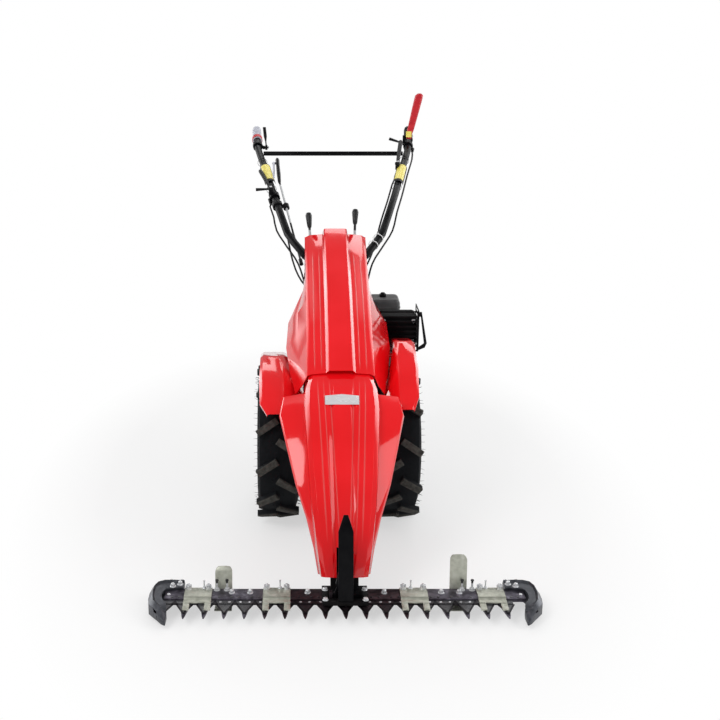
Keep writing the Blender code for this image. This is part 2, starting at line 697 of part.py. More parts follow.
def make_end_shoe(name, side):
    """Curved end shoe: a cast sickle round the bar's end, whose nose is the outermost finger."""
    guard = END_GUARD
    top = BAR_TOP + FIT + SHOE_CAP
    rings = []
    for (outer_x, outer_y), (inner_x, inner_y) in SHOE_PLAN:
        outer = Vector((guard + outer_x, BAR_FRONT + outer_y))
        inner = Vector((guard + inner_x, BAR_FRONT + inner_y))
        share = max(0.0, min(1.0, -outer_y / SHOE_NOSE))
        low = SHOE_BOTTOM + 0.002 * share
        plateau = top - (top - 0.0225) * share ** 3
        crown = plateau + SHOE_RIM_RISE * (1 - share) + 0.0005
        shoulder = plateau - 0.008 * (1 - share) - 0.0005
        width = (inner - outer).length
        inwards = (inner - outer).normalized()
        rim = outer + inwards * min(SHOE_RIM_WIDTH, width * 0.45)
        foot = outer + inwards * min(SHOE_RIM_WIDTH + 0.005, width * 0.7)
        section = [(outer, low), (outer, shoulder), (rim, crown), (foot, plateau), (inner, plateau), (inner, low)]
        rings.append([Vector((side * p.x, p.y, z)) for p, z in section])
    shoe = add_object(name, loft(rings), SHOE_IRON, 30)
    end = BAR_LENGTH / 2 + FIT
    stroke_end = guard + FINGER_PITCH / 2 - 0.001
    knife_room = KNIFE_BOTTOM + KNIFE_STRIP_THICKNESS + FIT

    def mirrored(x_low, x_high, y_low, y_high, z_low, z_high):
        xs = sorted((side * x_low, side * x_high))
        return box((xs[0], y_low, z_low), (xs[1], y_high, z_high))

    cut(shoe, mirrored(0.3, end, BAR_FRONT - FIT, BAR_BACK + FIT, BAR_BOTTOM - FIT, BAR_TOP + FIT))
    cut(shoe, mirrored(0.3, stroke_end, BAR_FRONT - SECTION_REACH - 0.003, BAR_FRONT + 0.001,
                       BAR_BOTTOM - FIT, knife_room))
    return shoe


def make_clips():
    """Hold-down clips: bent plates with two prongs that keep the knife on the fingers."""
    knife_top = KNIFE_BOTTOM + KNIFE_STRIP_THICKNESS + FIT
    section_top = KNIFE_BOTTOM + KNIFE_THICKNESS + FIT
    bar_top = BAR_TOP + FIT
    under = [(BAR_BACK - 0.001, bar_top), (BAR_FRONT - 0.0008, bar_top), (BAR_FRONT - 0.003, knife_top),
             (STRIP_FRONT - 0.002, knife_top), (STRIP_FRONT - 0.006, section_top),
             (BAR_FRONT - SECTION_REACH + 0.008, section_top)]
    over = [(y, z + CLIP_THICKNESS) for y, z in reversed(under)]
    for i, x in enumerate(CLIP_PLACES):
        clip = add_object("hold_down_%d" % (i + 1), prism(under + over, in_yz, x - CLIP_WIDTH / 2,
                                                          x + CLIP_WIDTH / 2), ZINC)
        gap = CLIP_WIDTH / 2 - CLIP_PRONG
        cut(clip, box((x - gap, BAR_FRONT - 0.09, 0.0), (x + gap, STRIP_FRONT - 0.001, 0.1)))


def make_skids():
    """Skid feet: the sole runs under the bar and its tail rises against the bar's back edge."""
    half = SKID_THICKNESS / 2
    upright = BAR_BACK + FIT + half
    sole_front = BAR_FRONT + 0.010
    for name, x, height in zip(("left", "right"), SKID_PLACES, SKID_HEIGHTS):
        path = [(sole_front - 0.010, half + 0.006), (sole_front - 0.004, half + 0.001), (sole_front, half),
                (upright - 0.016, half), (upright - 0.004, half + 0.005), (upright, half + 0.016),
                (upright, BAR_TOP + 0.010), (upright + 0.008, height - 0.010), (upright + 0.016, height)]
        skid = add_object("skid_" + name, prism(strip_outline(path, SKID_THICKNESS), in_yz,
                                                x - SKID_WIDTH / 2, x + SKID_WIDTH / 2), ZINC)
        for side in (-1, 1):
            edge = x + side * SKID_WIDTH / 2
            centre = (edge - side * SKID_CORNER, height - SKID_CORNER)
            corner = arc_points(centre, side * SKID_CORNER, SKID_CORNER, -4, 94, 6)
            corner += [(centre[0], height + 0.004), (edge + side * 0.004, height + 0.004),
                       (edge + side * 0.004, centre[1])]
            cut(skid, prism(corner, in_xz, upright - 0.010, upright + 0.030))


# Hood: sections stand square to a side-view path, each point given as (x, depth under the ridge)

UPPER_PATH = [(-0.232, 0.522), (-0.150, 0.572), (-0.060, 0.627), (0.030, 0.676), (0.130, 0.722),
              (0.230, 0.766), (0.340, 0.812)]
UPPER_EDGE = [0.126, 0.142, 0.153, 0.147, 0.1015, 0.097, 0.096]
UPPER_DEPTH = [0.100, 0.120, 0.125, 0.115, 0.090, 0.055, 0.032]
LOWER_PATH = [(-0.618, 0.090), (-0.596, 0.160), (-0.548, 0.236), (-0.485, 0.311), (-0.412, 0.382),
              (-0.334, 0.4545), (-0.272, 0.488), (-0.262, 0.492), (-0.236, 0.502), (-0.190, 0.5275)]
LOWER_BODY = [0.060, 0.070, 0.080, 0.088, 0.094, 0.100, 0.098, 0.097, 0.091, 0.088]
LOWER_WING = [0.068, 0.079, 0.098, 0.126, 0.148, 0.170, 0.161, 0.112, 0.102, 0.096]
LOWER_FOLD = [0.040, 0.040, 0.042, 0.040, 0.036, 0.034, 0.030, 0.032, 0.034, 0.034]
LOWER_DEPTH = [0.050, 0.062, 0.075, 0.085, 0.092, 0.084, 0.064, 0.070, 0.078, 0.078]
NOTCH_HALF_WIDTH = 0.0215


def path_frames(path):
    """Points of the path with the direction that leads inwards from the skin."""
    frames = []
    for i, (y, z) in enumerate(path):
        before = path[max(i - 1, 0)]
        after = path[min(i + 1, len(path) - 1)]
        along = Vector((0, after[0] - before[0], after[1] - before[1])).normalized()
        frames.append((Vector((0, y, z)), Vector((0, along.z, -along.y))))
    return frames


def skin(path, sections):
    """Loft open sections, mirrored about the middle, along a path."""
    rings = []
    for (centre, inward), half in zip(path_frames(path), sections):
        full = [(-x, d) for x, d in reversed(half) if x > 0] + half
        rings.append([centre + Vector((x, 0, 0)) + inward * d for x, d in full])
    return loft(rings, closed=False, caps=False)


def make_hood_upper():
    sections = []
    for i, (edge, depth) in enumerate(zip(UPPER_EDGE, UPPER_DEPTH)):
        pocket = 0.010 if i >= len(UPPER_PATH) - 2 else 0.0
        step = RIDGE_STEP + pocket
        ridge = RIDGE_HALF_WIDTH
        crease = CREASE_HALF_WIDTH
        shoulder = step + 0.012
        sections.append([(0, 0), (ridge - 0.004, 0), (ridge, 0.003), (ridge + 0.005, step),
                         (crease - 0.012, step + 0.004), (crease, shoulder),
                         (crease + (edge - crease) * 0.45, shoulder + (depth - shoulder) * 0.55),
                         (edge, depth)])
    hood = add_object("hood_upper", skin(UPPER_PATH, sections), RED, 50)
    thicken(hood, HOOD_WALL)
    return hood


def make_hood_lower():
    sections = []
    for i, body in enumerate(LOWER_BODY):
        wing, fold, depth = LOWER_WING[i], LOWER_FOLD[i], LOWER_DEPTH[i]
        flute = 0.006 if 1 <= i <= 5 else 0.001
        panel = 0.030 + 0.018 * i / len(LOWER_PATH)
        sections.append([(0, 0), (panel * 0.55, 0), (panel * 0.75, flute), (panel, 0.001),
                         (body - 0.012, 0.004), (body, 0.014), (body + 0.003, fold),
                         (wing - 0.004, fold + 0.010), (wing, fold + 0.017), (wing - 0.010, depth)])
    hood = add_object("hood_lower", skin(LOWER_PATH, sections), RED, 50)
    thicken(hood, HOOD_WALL)
    half = NOTCH_HALF_WIDTH
    cut(hood, box((-half, LOWER_PATH[0][0] - 0.01, 0.0), (half, HEAD_FRONT + 0.01, ARM_PIVOT.z + 0.020)))
    return hood


def point_on_skin(path, segment, share, depth):
    """A point at a depth under the ridge, on a straight stretch of a hood's path."""
    (y0, z0), (y1, z1) = path[segment], path[segment + 1]
    along = Vector((0, y1 - y0, z1 - z0)).normalized()
    inward = Vector((0, along.z, -along.y))
    here = Vector((0, y0 + (y1 - y0) * share, z0 + (z1 - z0) * share))
    return here + inward * depth, along, inward


def make_badge():
    """Bare plate low on the front of the lower hood."""
    centre, along, inward = point_on_skin(LOWER_PATH, 5, 0.32, -FIT)
    half_w, half_h, thick = 0.046, 0.019, 0.0015
    outline = [(-half_w, -half_h), (half_w, -half_h), (half_w, half_h * 0.7), (0, half_h),
               (-half_w, half_h * 0.7)]
    rings = [[centre + Vector((u, 0, 0)) + along * v - inward * t for u, v in outline] for t in (0, thick)]
    return add_object("badge_plate", loft(rings), SILVER)


def make_mudguard(name, side):
    """Bent guard over a wheel with an inner panel, an outer lip and a strap to the gearbox."""
    path = GUARD_PATHS[side]
    crest = GUARD_CREST[side]
    rings = []
    for i, (centre, inward) in enumerate(path_frames(path)):
        (inner, deep), outer = GUARD_INNER[side][i], GUARD_OUTER[side][i]
        section = [(inner, deep), (crest - 0.002, 0.004), (crest + 0.006, 0), (outer - 0.008, 0),
                   (outer, 0.006), (outer, GUARD_LIP)]
        rings.append([centre + Vector((side * x, 0, 0)) + inward * d for x, d in section])
    if side < 0:
        rings.reverse()
    guard = add_object(name, loft(rings, closed=False, caps=False), RED, 50)
    thicken(guard, GUARD_WALL)
    underside = path[3][1] - GUARD_WALL
    arm = underside - GUARD_ARM_DROP[side]
    flange = GEARBOX_HALF_WIDTH + FIT
    seat = crest + 0.022
    thick = 0.004

    def mirrored(x_low, x_high, y, z_low, z_high):
        xs = sorted((side * x_low, side * x_high))
        return box((xs[0], -y, z_low), (xs[1], y, z_high))

    join(guard, mirrored(flange, flange + thick, 0.030, GEARBOX_TOP - 0.060, arm + thick))
    join(guard, mirrored(flange, seat, 0.016, arm, arm + thick))
    join(guard, mirrored(seat - thick, seat, 0.016, arm, underside + 0.001))
    return guard


def make_hood_bracket():
    """Clamp on the drive tube with a post to the lower hood."""
    top, along, inward = point_on_skin(LOWER_PATH, 3, 0.5, HOOD_WALL + FIT)
    drop = (top.z - DRIVE_AXIS_HEIGHT - DRIVE_TUBE_RADIUS - 0.0075) / -inward.z
    foot = top + inward * drop
    ring = [(DRIVE_TUBE_RADIUS + FIT, -0.011), (DRIVE_TUBE_RADIUS + 0.009, -0.011),
            (DRIVE_TUBE_RADIUS + 0.009, 0.011), (DRIVE_TUBE_RADIUS + FIT, 0.011)]
    bracket = add_object("hood_bracket", turned(ring, (0, foot.y, DRIVE_AXIS_HEIGHT), (0, 1, 0), 20,
                                                closed=True), BLACK_PAINT, 35)
    join(bracket, rod(top, foot, 0.007, 10))
    return bracket


# Engine

CRANK = Vector((0, ENGINE_FRONT, CRANK_HEIGHT))
ENGINE_BACK = ENGINE_FRONT + CRANKCASE_LENGTH
CRANKCASE_TOP = CRANK_HEIGHT + 0.125
CRANKCASE_LEFT = -0.100
TILTED = Vector((math.cos(CYLINDER_TILT), 0, math.sin(CYLINDER_TILT)))
ACROSS = Vector((-TILTED.z, 0, TILTED.x))


def in_cylinder(u, v, w):
    """u runs along the tilted cylinder from the crank, v across it, w back from the engine's front."""
    return CRANK + TILTED * u + ACROSS * v + Vector((0, w, 0))


def make_crankcase():
    h = CYLINDER_HALF_HEIGHT + 0.006
    low = CRANK + TILTED * CYLINDER_START - ACROSS * h
    high = CRANK + TILTED * CYLINDER_START + ACROSS * h
    bottom = CRANK_HEIGHT - 0.090
    outline = [(CRANKCASE_LEFT + 0.012, bottom), (low.x - 0.030, bottom), (low.x, low.z), (high.x, high.z),
               (high.x - 0.030, CRANKCASE_TOP), (CRANKCASE_LEFT + 0.025, CRANKCASE_TOP),
               (CRANKCASE_LEFT, CRANKCASE_TOP - 0.025), (CRANKCASE_LEFT, bottom + 0.012)]
    case = add_object("crankcase", prism(outline, in_xz, ENGINE_FRONT, ENGINE_BACK), BLACK_PAINT, 30)
    base = box((CRANKCASE_LEFT - 0.010, ENGINE_FRONT + 0.010, bottom - 0.012),
               (low.x - 0.010, ENGINE_BACK - 0.010, bottom + 0.004))
    join(case, base)
    for x in (-0.07, -0.035, 0.0, 0.035):
        join(case, box((x - 0.0025, ENGINE_FRONT + 0.004, bottom - 0.004),
                       (x + 0.0025, ENGINE_BACK - 0.004, bottom + 0.012)))
    cut(case, rod(CRANK + Vector((0, 0.016, 0)), CRANK + Vector((0, CRANKCASE_LENGTH + 0.01, 0)),
                  CRANK_SPACE_RADIUS, 24))
    return case


def make_cylinder():
    """Finned cylinder and head with its valve cover, lying over to the machine's right."""
    start = CYLINDER_START + FIT
    outline = []
    pitch = CYLINDER_LENGTH / FIN_COUNT
    tall, root = CYLINDER_HALF_HEIGHT, CYLINDER_HALF_HEIGHT - 0.016
    for i in range(FIN_COUNT):
        u = start + i * pitch
        outline += [(u, tall), (u + pitch * 0.42, tall), (u + pitch * 0.42, root), (u + pitch, root)]
    end = start + CYLINDER_LENGTH
    cover = 0.040
    top = outline + [(end, cover), (end + VALVE_COVER_LENGTH - 0.005, cover),
                     (end + VALVE_COVER_LENGTH, cover - 0.005)]
    full = top + [(u, -v) for u, v in reversed(top)]
    front = 0.022
    return add_object("cylinder_head", prism(full, in_cylinder, front, front + CYLINDER_DEPTH), ALLOY)


def spiral_outline(start_radius, growth, sides):
    """Fan scroll that widens towards the cylinder."""
    points = []
    for i in range(sides):
        share = i / (sides - 1)
        a = math.radians(40) + 2 * math.pi * share
        r = start_radius + growth * share
        points.append((r * math.cos(a), CRANK_HEIGHT + r * math.sin(a)))
    return points


STARTER_GRIP = Vector((0.087, ENGINE_BACK + FIT + FAN_DEPTH * 0.55, CRANK_HEIGHT + 0.090))
STARTER_PULL = Vector((0.80, 0.22, 0.56)).normalized()


def make_fan_housing():
    """Scroll-shaped fan cowl with the recoil starter's slotted dome."""
    start = ENGINE_BACK + FIT
    cowl = add_object("fan_housing", prism(spiral_outline(FAN_RADIUS, FAN_GROWTH, 26), in_xz, start,
                                           start + FAN_DEPTH * 0.72), BLACK_PAINT, 30)
    dome = [(0.0, FAN_DEPTH * 0.5), (0.084, FAN_DEPTH * 0.5), (0.084, FAN_DEPTH * 0.86), (0.074, FAN_DEPTH),
            (0.0, FAN_DEPTH)]
    join(cowl, turned(dome, (0, start, CRANK_HEIGHT), (0, 1, 0), 24))
    slots = []
    for i in range(8):
        slot = box((0.034, start + FAN_DEPTH * 0.80, -0.0045), (0.066, start + FAN_DEPTH + 0.01, 0.0045))
        slot.transform(Matrix.Translation((0, 0, CRANK_HEIGHT)) @ Matrix.Rotation(math.pi / 4 * i, 4, "Y"))
        slots.append(slot)
    cut(cowl, merged(*slots))
    mouth = STARTER_GRIP - STARTER_PULL * FIT
    join(cowl, rod(mouth - STARTER_PULL * 0.036, mouth, 0.011, 12))
    cut(cowl, rod(mouth - STARTER_PULL * 0.062, mouth + STARTER_PULL * 0.01, 0.0028, 8))
    return cowl


def make_starter_grip():
    """Starter handle with the first stretch of its rope, which slides in the cowl's eye."""
    side = STARTER_PULL.cross(Vector((0, 1, 0))).normalized()
    half = 0.030
    rings = []
    for share, height in ((-1, 0.006), (-0.6, 0.010), (0.6, 0.010), (1, 0.006)):
        centre = STARTER_GRIP + STARTER_PULL * 0.011 + side * half * share
        other = STARTER_PULL.cross(side)
        rings.append([centre + other * u + STARTER_PULL * v for u, v in circle(height, 10)])
    grip = add_object("starter_grip", loft(rings), BLACK_PLASTIC, 40)
    join(grip, rod(STARTER_GRIP - STARTER_PULL * 0.060, STARTER_GRIP + STARTER_PULL * 0.004, 0.0025, 8))
    set_pivot(grip, STARTER_GRIP)
    return grip


def rounded_box(name, low, high, material, width, segments=2):
    item = add_object(name, box(low, high), material, 40)
    round_edges(item, width, segments)
    return item


TANK_BOTTOM = CRANKCASE_TOP + FIT


def make_tank():
    tank = rounded_box("fuel_tank", (-0.108, ENGINE_FRONT + 0.062, TANK_BOTTOM + 0.012),
                       (0.088, ENGINE_BACK + 0.048, TANK_BOTTOM + 0.108), BLACK_PAINT, 0.020, 3)
    join(tank, box((-0.070, ENGINE_FRONT + 0.074, TANK_BOTTOM),
                   (0.020, ENGINE_BACK - 0.012, TANK_BOTTOM + 0.030)))
    neck = Vector((-0.020, ENGINE_BACK - 0.030, TANK_BOTTOM + 0.116))
    join(tank, rod(neck - Vector((0, 0, 0.026)), neck, 0.020, 16))
    return tank


def make_tank_cap():
    base = Vector((-0.020, ENGINE_BACK - 0.030, TANK_BOTTOM + 0.116 + FIT))
    profile = [(0.0, 0), (0.026, 0), (0.028, 0.004), (0.028, 0.012), (0.024, 0.017), (0.0, 0.017)]
    cap = add_object("fuel_cap", turned(profile, base, (0, 0, 1), 16), BLACK_PLASTIC, 35)
    set_pivot(cap, base)
    return cap


def head_stub(u, w, reach, radius):
    """Pipe that stands on the tilted cylinder's upper fins."""
    foot = in_cylinder(u, CYLINDER_HALF_HEIGHT + FIT, w)
    return rod(foot, foot + ACROSS * reach, radius, 12)


def make_air_cleaner():
    low, high = CRANK_HEIGHT + 0.167, CRANK_HEIGHT + 0.245
    cleaner = rounded_box("air_cleaner", (0.102, ENGINE_FRONT + 0.088, low),
                          (0.208, ENGINE_BACK + 0.020, high), GREY_PLASTIC, 0.014, 3)
    join(cleaner, head_stub(CYLINDER_START + 0.070, 0.098, 0.090, 0.013))
    join(cleaner, box((0.108, ENGINE_FRONT + 0.094, low - 0.012), (0.202, ENGINE_BACK + 0.012, low + 0.008)))
    return cleaner


MUFFLER_LOW = Vector((0.132, ENGINE_FRONT - 0.052, CRANK_HEIGHT + 0.134))
MUFFLER_HIGH = Vector((0.250, ENGINE_FRONT + 0.046, CRANK_HEIGHT + 0.227))
GUARD_BARS = 8


def make_muffler():
    muffler = rounded_box("muffler", MUFFLER_LOW, MUFFLER_HIGH, BLACK_PAINT, 0.012, 2)
    join(muffler, head_stub(CYLINDER_START + 0.105, 0.035, 0.016, 0.010))
    inset = Vector((0.010, 0.010, 0.010))
    cut(muffler, box(MUFFLER_LOW + inset, MUFFLER_HIGH - inset))
    middle = (MUFFLER_LOW + MUFFLER_HIGH) / 2
    cut(muffler, rod(middle, Vector((MUFFLER_HIGH.x + 0.01, middle.y, middle.z)), 0.009, 12))
    return muffler


def make_muffler_guard():
    """Cage of level bars round the muffler, with a sloping strap on its outer side."""
    wall = 0.0025
    left, right = MUFFLER_LOW.x - FIT - wall, MUFFLER_HIGH.x + FIT
    front, back = MUFFLER_LOW.y - 0.012, MUFFLER_HIGH.y - 0.014
    low, high = MUFFLER_LOW.z - 0.015, MUFFLER_HIGH.z + 0.020
    plan = [(left, back), (left, front), (right + wall, front), (right + wall, back), (right, back),
            (right, front + wall), (left + wall, front + wall), (left + wall, back)]
    guard = add_object("muffler_guard", prism(plan, in_xy, low, high), BLACK_PAINT)
    slots = []
    pitch = (high - low - 0.004) / GUARD_BARS
    for i in range(GUARD_BARS):
        z = low + 0.004 + i * pitch
        top = z + pitch * 0.68
        slots.append(box((left + 0.006, front - 0.01, z), (right - 0.004, front + wall + 0.004, top)))
        slots.append(box((left - 0.01, front + 0.012, z), (right + 0.02, back - 0.008, top)))
    cut(guard, merged(*slots))
    outside = [(right, high - 0.003), (right + 0.010, high - 0.003), (right + 0.028, low + 0.026),
               (right + 0.022, low + 0.012), (right, low + 0.003)]
    window = [(right + 0.003, high - 0.018), (right + 0.007, high - 0.018), (right + 0.019, low + 0.026),
              (right + 0.003, low + 0.014)]
    join(guard, prism(outside, in_xz, front + 0.0002, front + wall - 0.0002))
    cut(guard, prism(window, in_xz, front - 0.01, front + wall + 0.004))
    return guard


# Column and handlebar

TILT = Vector((0, TILT_BACK, TILT_HEIGHT))
SOCKET = Vector((0, TILT_BACK + 0.060, TILT_HEIGHT + 0.022))
COLUMN_PATH = [(0.045, GEARBOX_TOP + GEARBOX_LID + FIT), (0.075, 0.500), (0.190, 0.648)]
CABLE_STOPS = {(-1, 0): (0.118, 0.560), (-1, 1): (0.160, 0.612), (1, 0): (0.118, 0.560),
               (1, 1): (0.160, 0.612)}
STOP_REACH = 0.038


def make_column():
    """Box column on the gearbox with two cheeks for the tilting hub and a post under the hood."""
    half = COLUMN_WIDTH / 2
    outline = strip_outline(COLUMN_PATH, COLUMN_DEPTH)
    base_y, base_z = COLUMN_PATH[0]
    outline[0] = (base_y - COLUMN_DEPTH / 2, base_z)
    outline[-1] = (base_y + COLUMN_DEPTH / 2, base_z)
    column = add_object("column", prism(outline, in_yz, -half, half), BLACK_PAINT, 30)
    foot = box((-half - 0.004, base_y - 0.032, base_z), (half + 0.004, base_y + 0.034, base_z + 0.010))
    join(column, foot)
    inside = HUB_HALF_LENGTH + FIT
    for side in (-1, 1):
        cheek = [(0.160, 0.588)] + arc_points((TILT.y, TILT.z), 0.028, 0.028, -60, 135, 9) + [(0.172, 0.650)]
        xs = sorted((side * inside, side * (inside + CHEEK_THICKNESS)))
        join(column, prism(cheek, in_yz, xs[0], xs[1]))
    reach = inside + CHEEK_THICKNESS + 0.004
    join(column, rod((-reach, TILT.y, TILT.z), (reach, TILT.y, TILT.z), 0.006, 12))
    top, along, inward = point_on_skin(UPPER_PATH, 3, 0.35, HOOD_WALL + FIT)
    join(column, rod(top, top + inward * 0.125, 0.008, 10))
    for (side, _), (y, z) in CABLE_STOPS.items():
        join(column, rod((side * (half - 0.005), y, z), (side * STOP_REACH, y, z), 0.006, 10))
    return column


def make_hub():
    """Tilting hub: a bored barrel between the column's cheeks and a cross tube for the handles."""
    profile = [(0.0063, -HUB_HALF_LENGTH), (HUB_BARREL_RADIUS, -HUB_HALF_LENGTH),
               (HUB_BARREL_RADIUS, HUB_HALF_LENGTH), (0.0063, HUB_HALF_LENGTH)]
    hub = add_object("handlebar_hub", turned(profile, TILT, (1, 0, 0), 20, closed=True), BLACK_PAINT, 35)
    to_socket = (SOCKET - TILT).normalized()
    up = Vector((0, -to_socket.z, to_socket.y))
    near = TILT + to_socket * 0.015
    rings = [[c + Vector((x, 0, 0)) + up * u for x, u in ((-0.022, -0.010), (0.022, -0.010), (0.022, 0.010),
                                                          (-0.022, 0.010))] for c in (near, SOCKET)]
    join(hub, loft(rings))
    join(hub, rod(SOCKET - Vector((SOCKET_REACH, 0, 0)), SOCKET + Vector((SOCKET_REACH, 0, 0)), 0.0165, 16))
    return hub


HANDLE_POINTS = [(SOCKET_REACH + 0.014, SOCKET.y, SOCKET.z), (0.094, 0.314, 0.729), (0.112, 0.345, 0.744),
                 (0.130, 0.378, 0.758), (0.153, 0.425, 0.780), (0.177, 0.505, 0.828), (0.204, 0.620, 0.876),
                 (0.232, 0.780, 0.923), (0.262, 0.940, 0.966), (0.2740, 1.010, 0.9846),
                 (0.2785, 1.070, 1.0005), (0.2870, GRIP_END - 0.004, 1.0339)]


HANDLE_SWING = 0.018


def swung(back):
    """How far the handlebar, swung a little towards the cylinder's side, stands over at a distance back."""
    return HANDLE_SWING * (back - SOCKET.y)


def handle_route(side):
    points = [(side * x + swung(y), y, z) for x, y, z in HANDLE_POINTS]
    straight = [Vector((side * (SOCKET_REACH + x), SOCKET.y, SOCKET.z)) for x in (FIT, 0.006)]
    return straight + smooth_route(points, 0.090)


def tube_at(side, back):
    """Centre and direction of a handle tube at a distance behind the axle."""
    route = handle_route(side)
    for a, b in zip(route[2:], route[3:]):
        if a.y <= back <= b.y:
            share = (back - a.y) / (b.y - a.y)
            return a.lerp(b, share), (b - a).normalized()
    return route[-1], (route[-1] - route[-2]).normalized()


def make_handles():
    for name, side in (("left", -1), ("right", 1)):
        add_object("handle_" + name, pipe(handle_route(side), TUBE_RADIUS, TUBE_WALL, 10), BLACK_PAINT, 40)
        end = handle_route(side)[-1]
        direction = tube_at(side, GRIP_END - 0.02)[1]
        cap, length, collar = 0.004, GRIP_LENGTH, GRIP_LENGTH - GRIP_FLANGE
        bore = TUBE_RADIUS + FIT
        wide = GRIP_RADIUS + 0.002
        profile = [(0.0, cap), (GRIP_RADIUS * 0.8, cap), (GRIP_RADIUS, cap - 0.004),
                   (GRIP_RADIUS * 0.92, -length * 0.45), (GRIP_RADIUS, 0.004 - collar), (wide, -collar),
                   (wide, -length), (bore, -length), (bore, FIT), (0.0, FIT)]
        add_object("grip_" + name, turned(profile, end, direction, 10),
                   BLACK_PLASTIC if side > 0 else PALE_PLASTIC, 40)


CROSSBAR_BACK = 0.963


def make_crossbar():
    inner = []
    for side in (-1, 1):
        centre, direction = tube_at(side, CROSSBAR_BACK)
        slope = abs(direction.x / direction.y)
        reach = abs(centre.x) - TUBE_RADIUS / math.cos(math.atan(slope)) - CROSSBAR_RADIUS * slope - FIT
        inner.append((side * reach, centre.y, centre.z))
    return add_object("crossbar", rod(inner[0], inner[1], CROSSBAR_RADIUS, 10), BLACK_PAINT, 40)


# Controls on the handles

CLAMP_OUTER = 0.0180


def start_clamp(name, side, back, material, width=0.024):
    """Solid disc round a handle tube; finish_clamp bores it once its arms are on."""
    centre, direction = tube_at(side, back)
    reach = direction * (width / 2)
    return add_object(name, rod(centre - reach, centre + reach, CLAMP_OUTER, 10), material, 35)


def finish_clamp(clamp, side, back):
    centre, direction = tube_at(side, back)
    cut(clamp, rod(centre - direction * 0.05, centre + direction * 0.05, TUBE_RADIUS + FIT, 10))


STOP_TO_GRIP = 0.050
STOP_BACK = GRIP_END - GRIP_LENGTH - STOP_TO_GRIP
BRAKE_BACK = 0.606
CLUTCH_BACK = 0.804
GUIDE_BACK = 0.556
LEVER_EYE = 0.009
LEVER_PIN = 0.0035
CABLE_OFFSETS = {"throttle": (-1, Vector((0.0090, 0, -0.0165))), "brake": (-1, Vector((-0.0165, 0, -0.0090))),
                 "clutch": (1, Vector((-0.0165, 0, -0.0090))), "stop": (1, Vector((0.0165, 0, -0.0090)))}
CABLE_SPREAD = 1.32
CABLE_STARTS = {"throttle": STOP_BACK - 0.030, "brake": BRAKE_BACK - 0.022, "clutch": CLUTCH_BACK - 0.030,
                "stop": STOP_BACK - 0.030}


def ferrule(cable):
    """Socket on a lever's clamp that the control cable leaves."""
    side, offset = CABLE_OFFSETS[cable]
    start = CABLE_STARTS[cable]
    centre, direction = tube_at(side, start)
    mouth = centre + offset
    return rod(mouth, mouth + direction * 0.026, 0.0052, 10)


def lever(name, pivot, axis, direction, length, widths, thickness, material, tail=None):
    """Flat lever with a bored eye on its pivot; widths are (share of the length, half width)."""
    along = Vector(direction).normalized()
    axis = Vector(axis).normalized()
    up = axis.cross(along).normalized()
    rings = []
    for share, half, thick in widths:
        centre = pivot + along * (length * share)
        rings.append([centre + up * half * u + axis * thick * v for u, v in circle(1.0, 10)])
    item = add_object(name, loft(rings), material, 45)
    half = thickness / 2
    join(item, rod(pivot - axis * half, pivot + axis * half, LEVER_EYE, 14))
    if tail is not None:
        join(item, tail)
    cut(item, rod(pivot - axis * 0.04, pivot + axis * 0.04, LEVER_PIN + FIT, 10))
    set_pivot(item, pivot)
    return item


STOP_PIVOT = tube_at(1, STOP_BACK)[0] + Vector((0.002, 0.0, 0.034))
STOP_TIP = Vector((0.3220 + swung(1.150), 1.150, 1.168))
THROTTLE_PIVOT = tube_at(-1, STOP_BACK - 0.032)[0] + Vector((0.030, 0.0, 0.006))
THROTTLE_TIP = Vector((-0.2500 + swung(1.005), 1.005, 1.062))
BRAKE_PIVOT = tube_at(-1, BRAKE_BACK)[0] + Vector((-0.012, 0.0, 0.027))
BRAKE_TIP = Vector((-0.2560 + swung(0.775), 0.775, 0.936))
CLUTCH_PIVOT = tube_at(1, CLUTCH_BACK)[0] + Vector((-0.014, 0.0, 0.027))
CLUTCH_TIP = Vector((0.2440 + swung(0.975), 0.975, 1.016))


def make_stop_lever():
    """Dead-man stop lever: a long red grip that is pressed down onto the handle."""
    clamp = start_clamp("stop_clamp", 1, STOP_BACK, BLACK_PAINT)
    centre = tube_at(1, STOP_BACK)[0]
    axis = Vector((1, 0, 0))
    elbow = Vector((centre.x - 0.0155, STOP_PIVOT.y, STOP_PIVOT.z))
    join(clamp, rod(Vector((elbow.x, centre.y, centre.z + 0.002)), elbow + Vector((0, 0, 0.004)), 0.0055, 10))
    join(clamp, rod(elbow, STOP_PIVOT - axis * (0.009 + RUNNING), 0.0065, 10))
    join(clamp, rod(elbow, STOP_PIVOT + axis * 0.011, LEVER_PIN, 10))
    join(clamp, ferrule("stop"))
    finish_clamp(clamp, 1, STOP_BACK)
    length = (STOP_TIP - STOP_PIVOT).length
    widths = [(0.02, 0.006, 0.008), (0.14, 0.008, 0.0125), (0.50, 0.010, 0.0145), (0.86, 0.0125, 0.0160),
              (0.96, 0.0125, 0.0155), (1.0, 0.008, 0.0100)]
    lever("stop_lever", STOP_PIVOT, axis, STOP_TIP - STOP_PIVOT, length, widths, 0.018, RED_LEVER)


